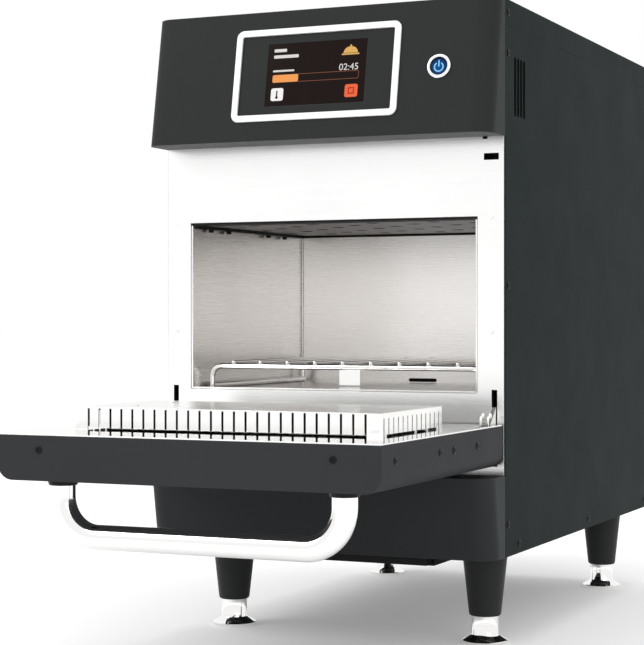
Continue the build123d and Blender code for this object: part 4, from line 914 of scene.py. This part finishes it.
# %% Handle collars
COLLAR_TOP = 0.0146
COLLAR_LOW = 0.0132
collar_mesh = bmesh.new()
for low, high in solids_of("handle_pads"):
    middle = (low + high) / 2
    profile = [(0, high.z), (COLLAR_TOP, high.z), (COLLAR_TOP, high.z - 0.0006), (COLLAR_LOW, low.z + 0.0004),
               (COLLAR_LOW - 0.0005, low.z), (0, low.z)]
    lathe(collar_mesh, profile, (middle.x, middle.y, 0))
collars = add_piece("handle_collars", collar_mesh, black_screw, "door")
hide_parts("handle_pads")
print("collars", collars.dimensions[:])

# %% [markdown]
# The rack's rods lie on two bent loops and are spot welded to them. A weld squeezes a small bead out on
# each side, so a flattened bead sits at every crossing. The front end of each rod is rounded over.

# %% Weld beads
RODS = 9
ROD_PITCH = 0.031925
RACK_MIDDLE = 0.0016
ROD_RADIUS = 0.00175
WIRE_RADIUS = 0.003
rack_low, rack_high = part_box("wire_rack")
loop_rows = (rack_low.y + WIRE_RADIUS, rack_high.y - WIRE_RADIUS - 0.003)
bead_z = rack_high.z - 2 * ROD_RADIUS
bead_mesh = bmesh.new()
for number in range(RODS):
    x = RACK_MIDDLE + (number - (RODS - 1) / 2) * ROD_PITCH
    tip = Matrix.Translation((x, rack_low.y + 0.0002, rack_high.z - ROD_RADIUS))
    tip = tip @ Matrix.Diagonal((0.0019, 0.0012, 0.0019, 1))
    bmesh.ops.create_icosphere(bead_mesh, subdivisions=3, radius=1.0, matrix=tip)
    for y in loop_rows:
        for side in (-1, 1):
            matrix = Matrix.Translation((x + side * ROD_RADIUS * 0.8, y, bead_z))
            matrix = matrix @ Matrix.Diagonal((0.0013, 0.0021, 0.0011, 1))
            bmesh.ops.create_icosphere(bead_mesh, subdivisions=3, radius=1.0, matrix=matrix)
add_piece("rack_welds", bead_mesh, wire_steel, "rack")
print("weld beads", 4 * RODS)

# %% [markdown]
# The screen shows a running programme: two labels, a timer, a bar that fills, and two tiles to press. Each
# shape is a thin plate a tenth of a millimetre above the glass, drawn in the plane of the leaning front.
# The words are left bare bars, and the timer has plain digits.

# %% Plane of the leaning front
LEAN = math.atan2(0.024, 0.135)
SCREEN = (0.1096, 0.0658)
across = Vector((1, 0, 0))
upward = Vector((0, math.sin(LEAN), math.cos(LEAN)))
outward = across.cross(upward)


def face_plane(node_name, half_height):
    """The matrix of the plane on a node's front face, with its middle as the origin and z outwards."""
    low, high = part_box(node_name)
    y = low.y + half_height * math.sin(LEAN)
    z = high.z - half_height * math.cos(LEAN)
    middle = Vector(((low.x + high.x) / 2, y, z))
    return Matrix.Translation(middle) @ Matrix((across, upward, outward)).transposed().to_4x4()


screen_plane = face_plane("display_glass", SCREEN[1] / 2)
button_radius = (button_high.x - button_low.x) / 2
button_plane = face_plane("power_button", button_radius)
print("screen middle", screen_plane.translation[:], "button middle", button_plane.translation[:])


# %% Flat shapes
def rounded(left, top, right, bottom, radius, steps=6):
    """A rounded rectangle's outline. Its sides are shares of the screen from its top left corner."""
    x = [(share - 0.5) * SCREEN[0] for share in (left, right)]
    y = [(0.5 - share) * SCREEN[1] for share in (bottom, top)]
    points = []
    for quarter, (cx, cy) in enumerate(((x[1] - radius, y[1] - radius), (x[0] + radius, y[1] - radius),
                                        (x[0] + radius, y[0] + radius), (x[1] - radius, y[0] + radius))):
        for step in range(steps + 1):
            angle = (quarter + step / steps) * math.pi / 2
            points.append((cx + radius * math.cos(angle), cy + radius * math.sin(angle)))
    return points


def disc(cx, cy, radius, steps=32):
    return [(cx + radius * math.cos(2 * math.pi * s / steps), cy + radius * math.sin(2 * math.pi * s / steps))
            for s in range(steps)]


def plate(mesh, plane, outline, low, high):
    """A thin plate with an outline, between two heights over the plane."""
    rows = [[mesh.verts.new(plane @ Vector((x, y, z))) for x, y in outline] for z in (low, high)]
    mesh.faces.new(rows[0][::-1])
    mesh.faces.new(rows[1])
    for step in range(len(outline)):
        after = (step + 1) % len(outline)
        mesh.faces.new([rows[0][step], rows[0][after], rows[1][after], rows[1][step]])


def frame_strip(mesh, plane, outer, inner, low, high):
    """A thin strip between two outlines with as many points."""
    rows = [[mesh.verts.new(plane @ Vector((x, y, z))) for x, y in outline]
            for outline, z in ((outer, low), (outer, high), (inner, high), (inner, low))]
    for first, second in zip(rows, rows[1:] + rows[:1]):
        for step in range(len(outer)):
            after = (step + 1) % len(outer)
            mesh.faces.new([first[step], first[after], second[after], second[step]])


def screen_piece(name, material, outlines, low=0.00002, high=0.0001):
    mesh = bmesh.new()
    for outline in outlines:
        plate(mesh, screen_plane, outline, low, high)
    return add_piece(name, mesh, material, "cabinet", smooth=False)


screen_piece("screen_labels", label_light,
             [rounded(0.062, 0.085, 0.19, 0.135, 0.0008), rounded(0.062, 0.185, 0.315, 0.235, 0.0008),
              rounded(0.062, 0.425, 0.28, 0.455, 0.0006)])
screen_piece("progress_fill", bar_light, [rounded(0.064, 0.505, 0.325, 0.622, 0.0015)])
bar_mesh = bmesh.new()
frame_strip(bar_mesh, screen_plane, rounded(0.062, 0.5, 0.935, 0.627, 0.0018),
            rounded(0.0655, 0.506, 0.9315, 0.621, 0.0015), 0.00001, 0.00008)
add_piece("progress_outline", bar_mesh, outline_light, "cabinet", smooth=False)
screen_piece("tile_temperature", tile_white, [rounded(0.058, 0.715, 0.184, 0.918, 0.0022)])
screen_piece("tile_stop", tile_red, [rounded(0.806, 0.715, 0.934, 0.918, 0.0022)])

ICON_LOW, ICON_HIGH = 0.00011, 0.00018
bulb_x = (0.1185 - 0.5) * SCREEN[0]
bulb_y = (0.5 - 0.864) * SCREEN[1]
screen_piece("icon_thermometer", icon_dark,
             [disc(bulb_x, bulb_y, 0.0015), rounded(0.1115, 0.754, 0.1255, 0.864, 0.0007)],
             ICON_LOW, ICON_HIGH)
stop_mesh = bmesh.new()
frame_strip(stop_mesh, screen_plane, rounded(0.838, 0.762, 0.902, 0.870, 0.0008),
            rounded(0.851, 0.783, 0.889, 0.849, 0.0004), ICON_LOW, ICON_HIGH)
add_piece("icon_stop", stop_mesh, icon_red, "cabinet", smooth=False)

# A covered dish: a half round lid with a knob over a flat base
dish_x, dish_y = (0.84 - 0.5) * SCREEN[0], (0.5 - 0.215) * SCREEN[1]
lid_angles = [math.pi * step / 20 for step in range(21)]
lid = [(dish_x + 0.0078 * math.cos(angle), dish_y + 0.0068 * math.sin(angle)) for angle in lid_angles]
screen_piece("icon_dish", icon_gold,
             [lid, rounded(0.752, 0.222, 0.928, 0.245, 0.0005), disc(dish_x, dish_y + 0.0076, 0.001)])

timer_curve = bpy.data.curves.new("timer_digits", "FONT")
timer_curve.body = "02:45"
timer_curve.size = 0.0098
timer_curve.align_x = "RIGHT"
timer_curve.extrude = 0.00004
timer_text = bpy.data.objects.new("timer_text", timer_curve)
timer_data = bpy.data.meshes.new_from_object(timer_text)
bpy.data.objects.remove(timer_text)
timer_mesh = bmesh.new()
timer_mesh.from_mesh(timer_data)
bpy.data.meshes.remove(timer_data)
timer_place = Matrix.Translation(((0.93 - 0.5) * SCREEN[0], (0.5 - 0.485) * SCREEN[1], 0.00006))
timer_mesh.transform(screen_plane @ timer_place)
add_piece("screen_timer", timer_mesh, label_light, "cabinet", smooth=False)

# %% [markdown]
# The usual mark for power is an open ring with an upright stroke. It is printed on the cap, so it rides
# with the button when it is pressed.

# %% Power symbol
SYMBOL_RADIUS = 0.0045
SYMBOL_LINE = 0.0014
SYMBOL_DROP = 0.0009
GAP = math.radians(33)
arc_steps = 40
arc = [math.pi / 2 + GAP + (2 * math.pi - 2 * GAP) * s / arc_steps for s in range(arc_steps + 1)]
ring_points = [(SYMBOL_RADIUS + side * SYMBOL_LINE / 2, angle)
               for side, angles in ((1, arc), (-1, arc[::-1])) for angle in angles]
ring_outline = [(reach * math.cos(angle), reach * math.sin(angle) - SYMBOL_DROP)
                for reach, angle in ring_points]
half_line = SYMBOL_LINE / 2
stroke = [(-half_line, -0.0006), (half_line, -0.0006), (half_line, 0.0060), (-half_line, 0.0060)]
symbol_mesh = bmesh.new()
plate(symbol_mesh, button_plane, ring_outline, 0.00002, 0.00012)
plate(symbol_mesh, button_plane, stroke, 0.00002, 0.00012)
add_piece("power_symbol", symbol_mesh, symbol_light, "power_button", smooth=False)
print("power symbol on the button")
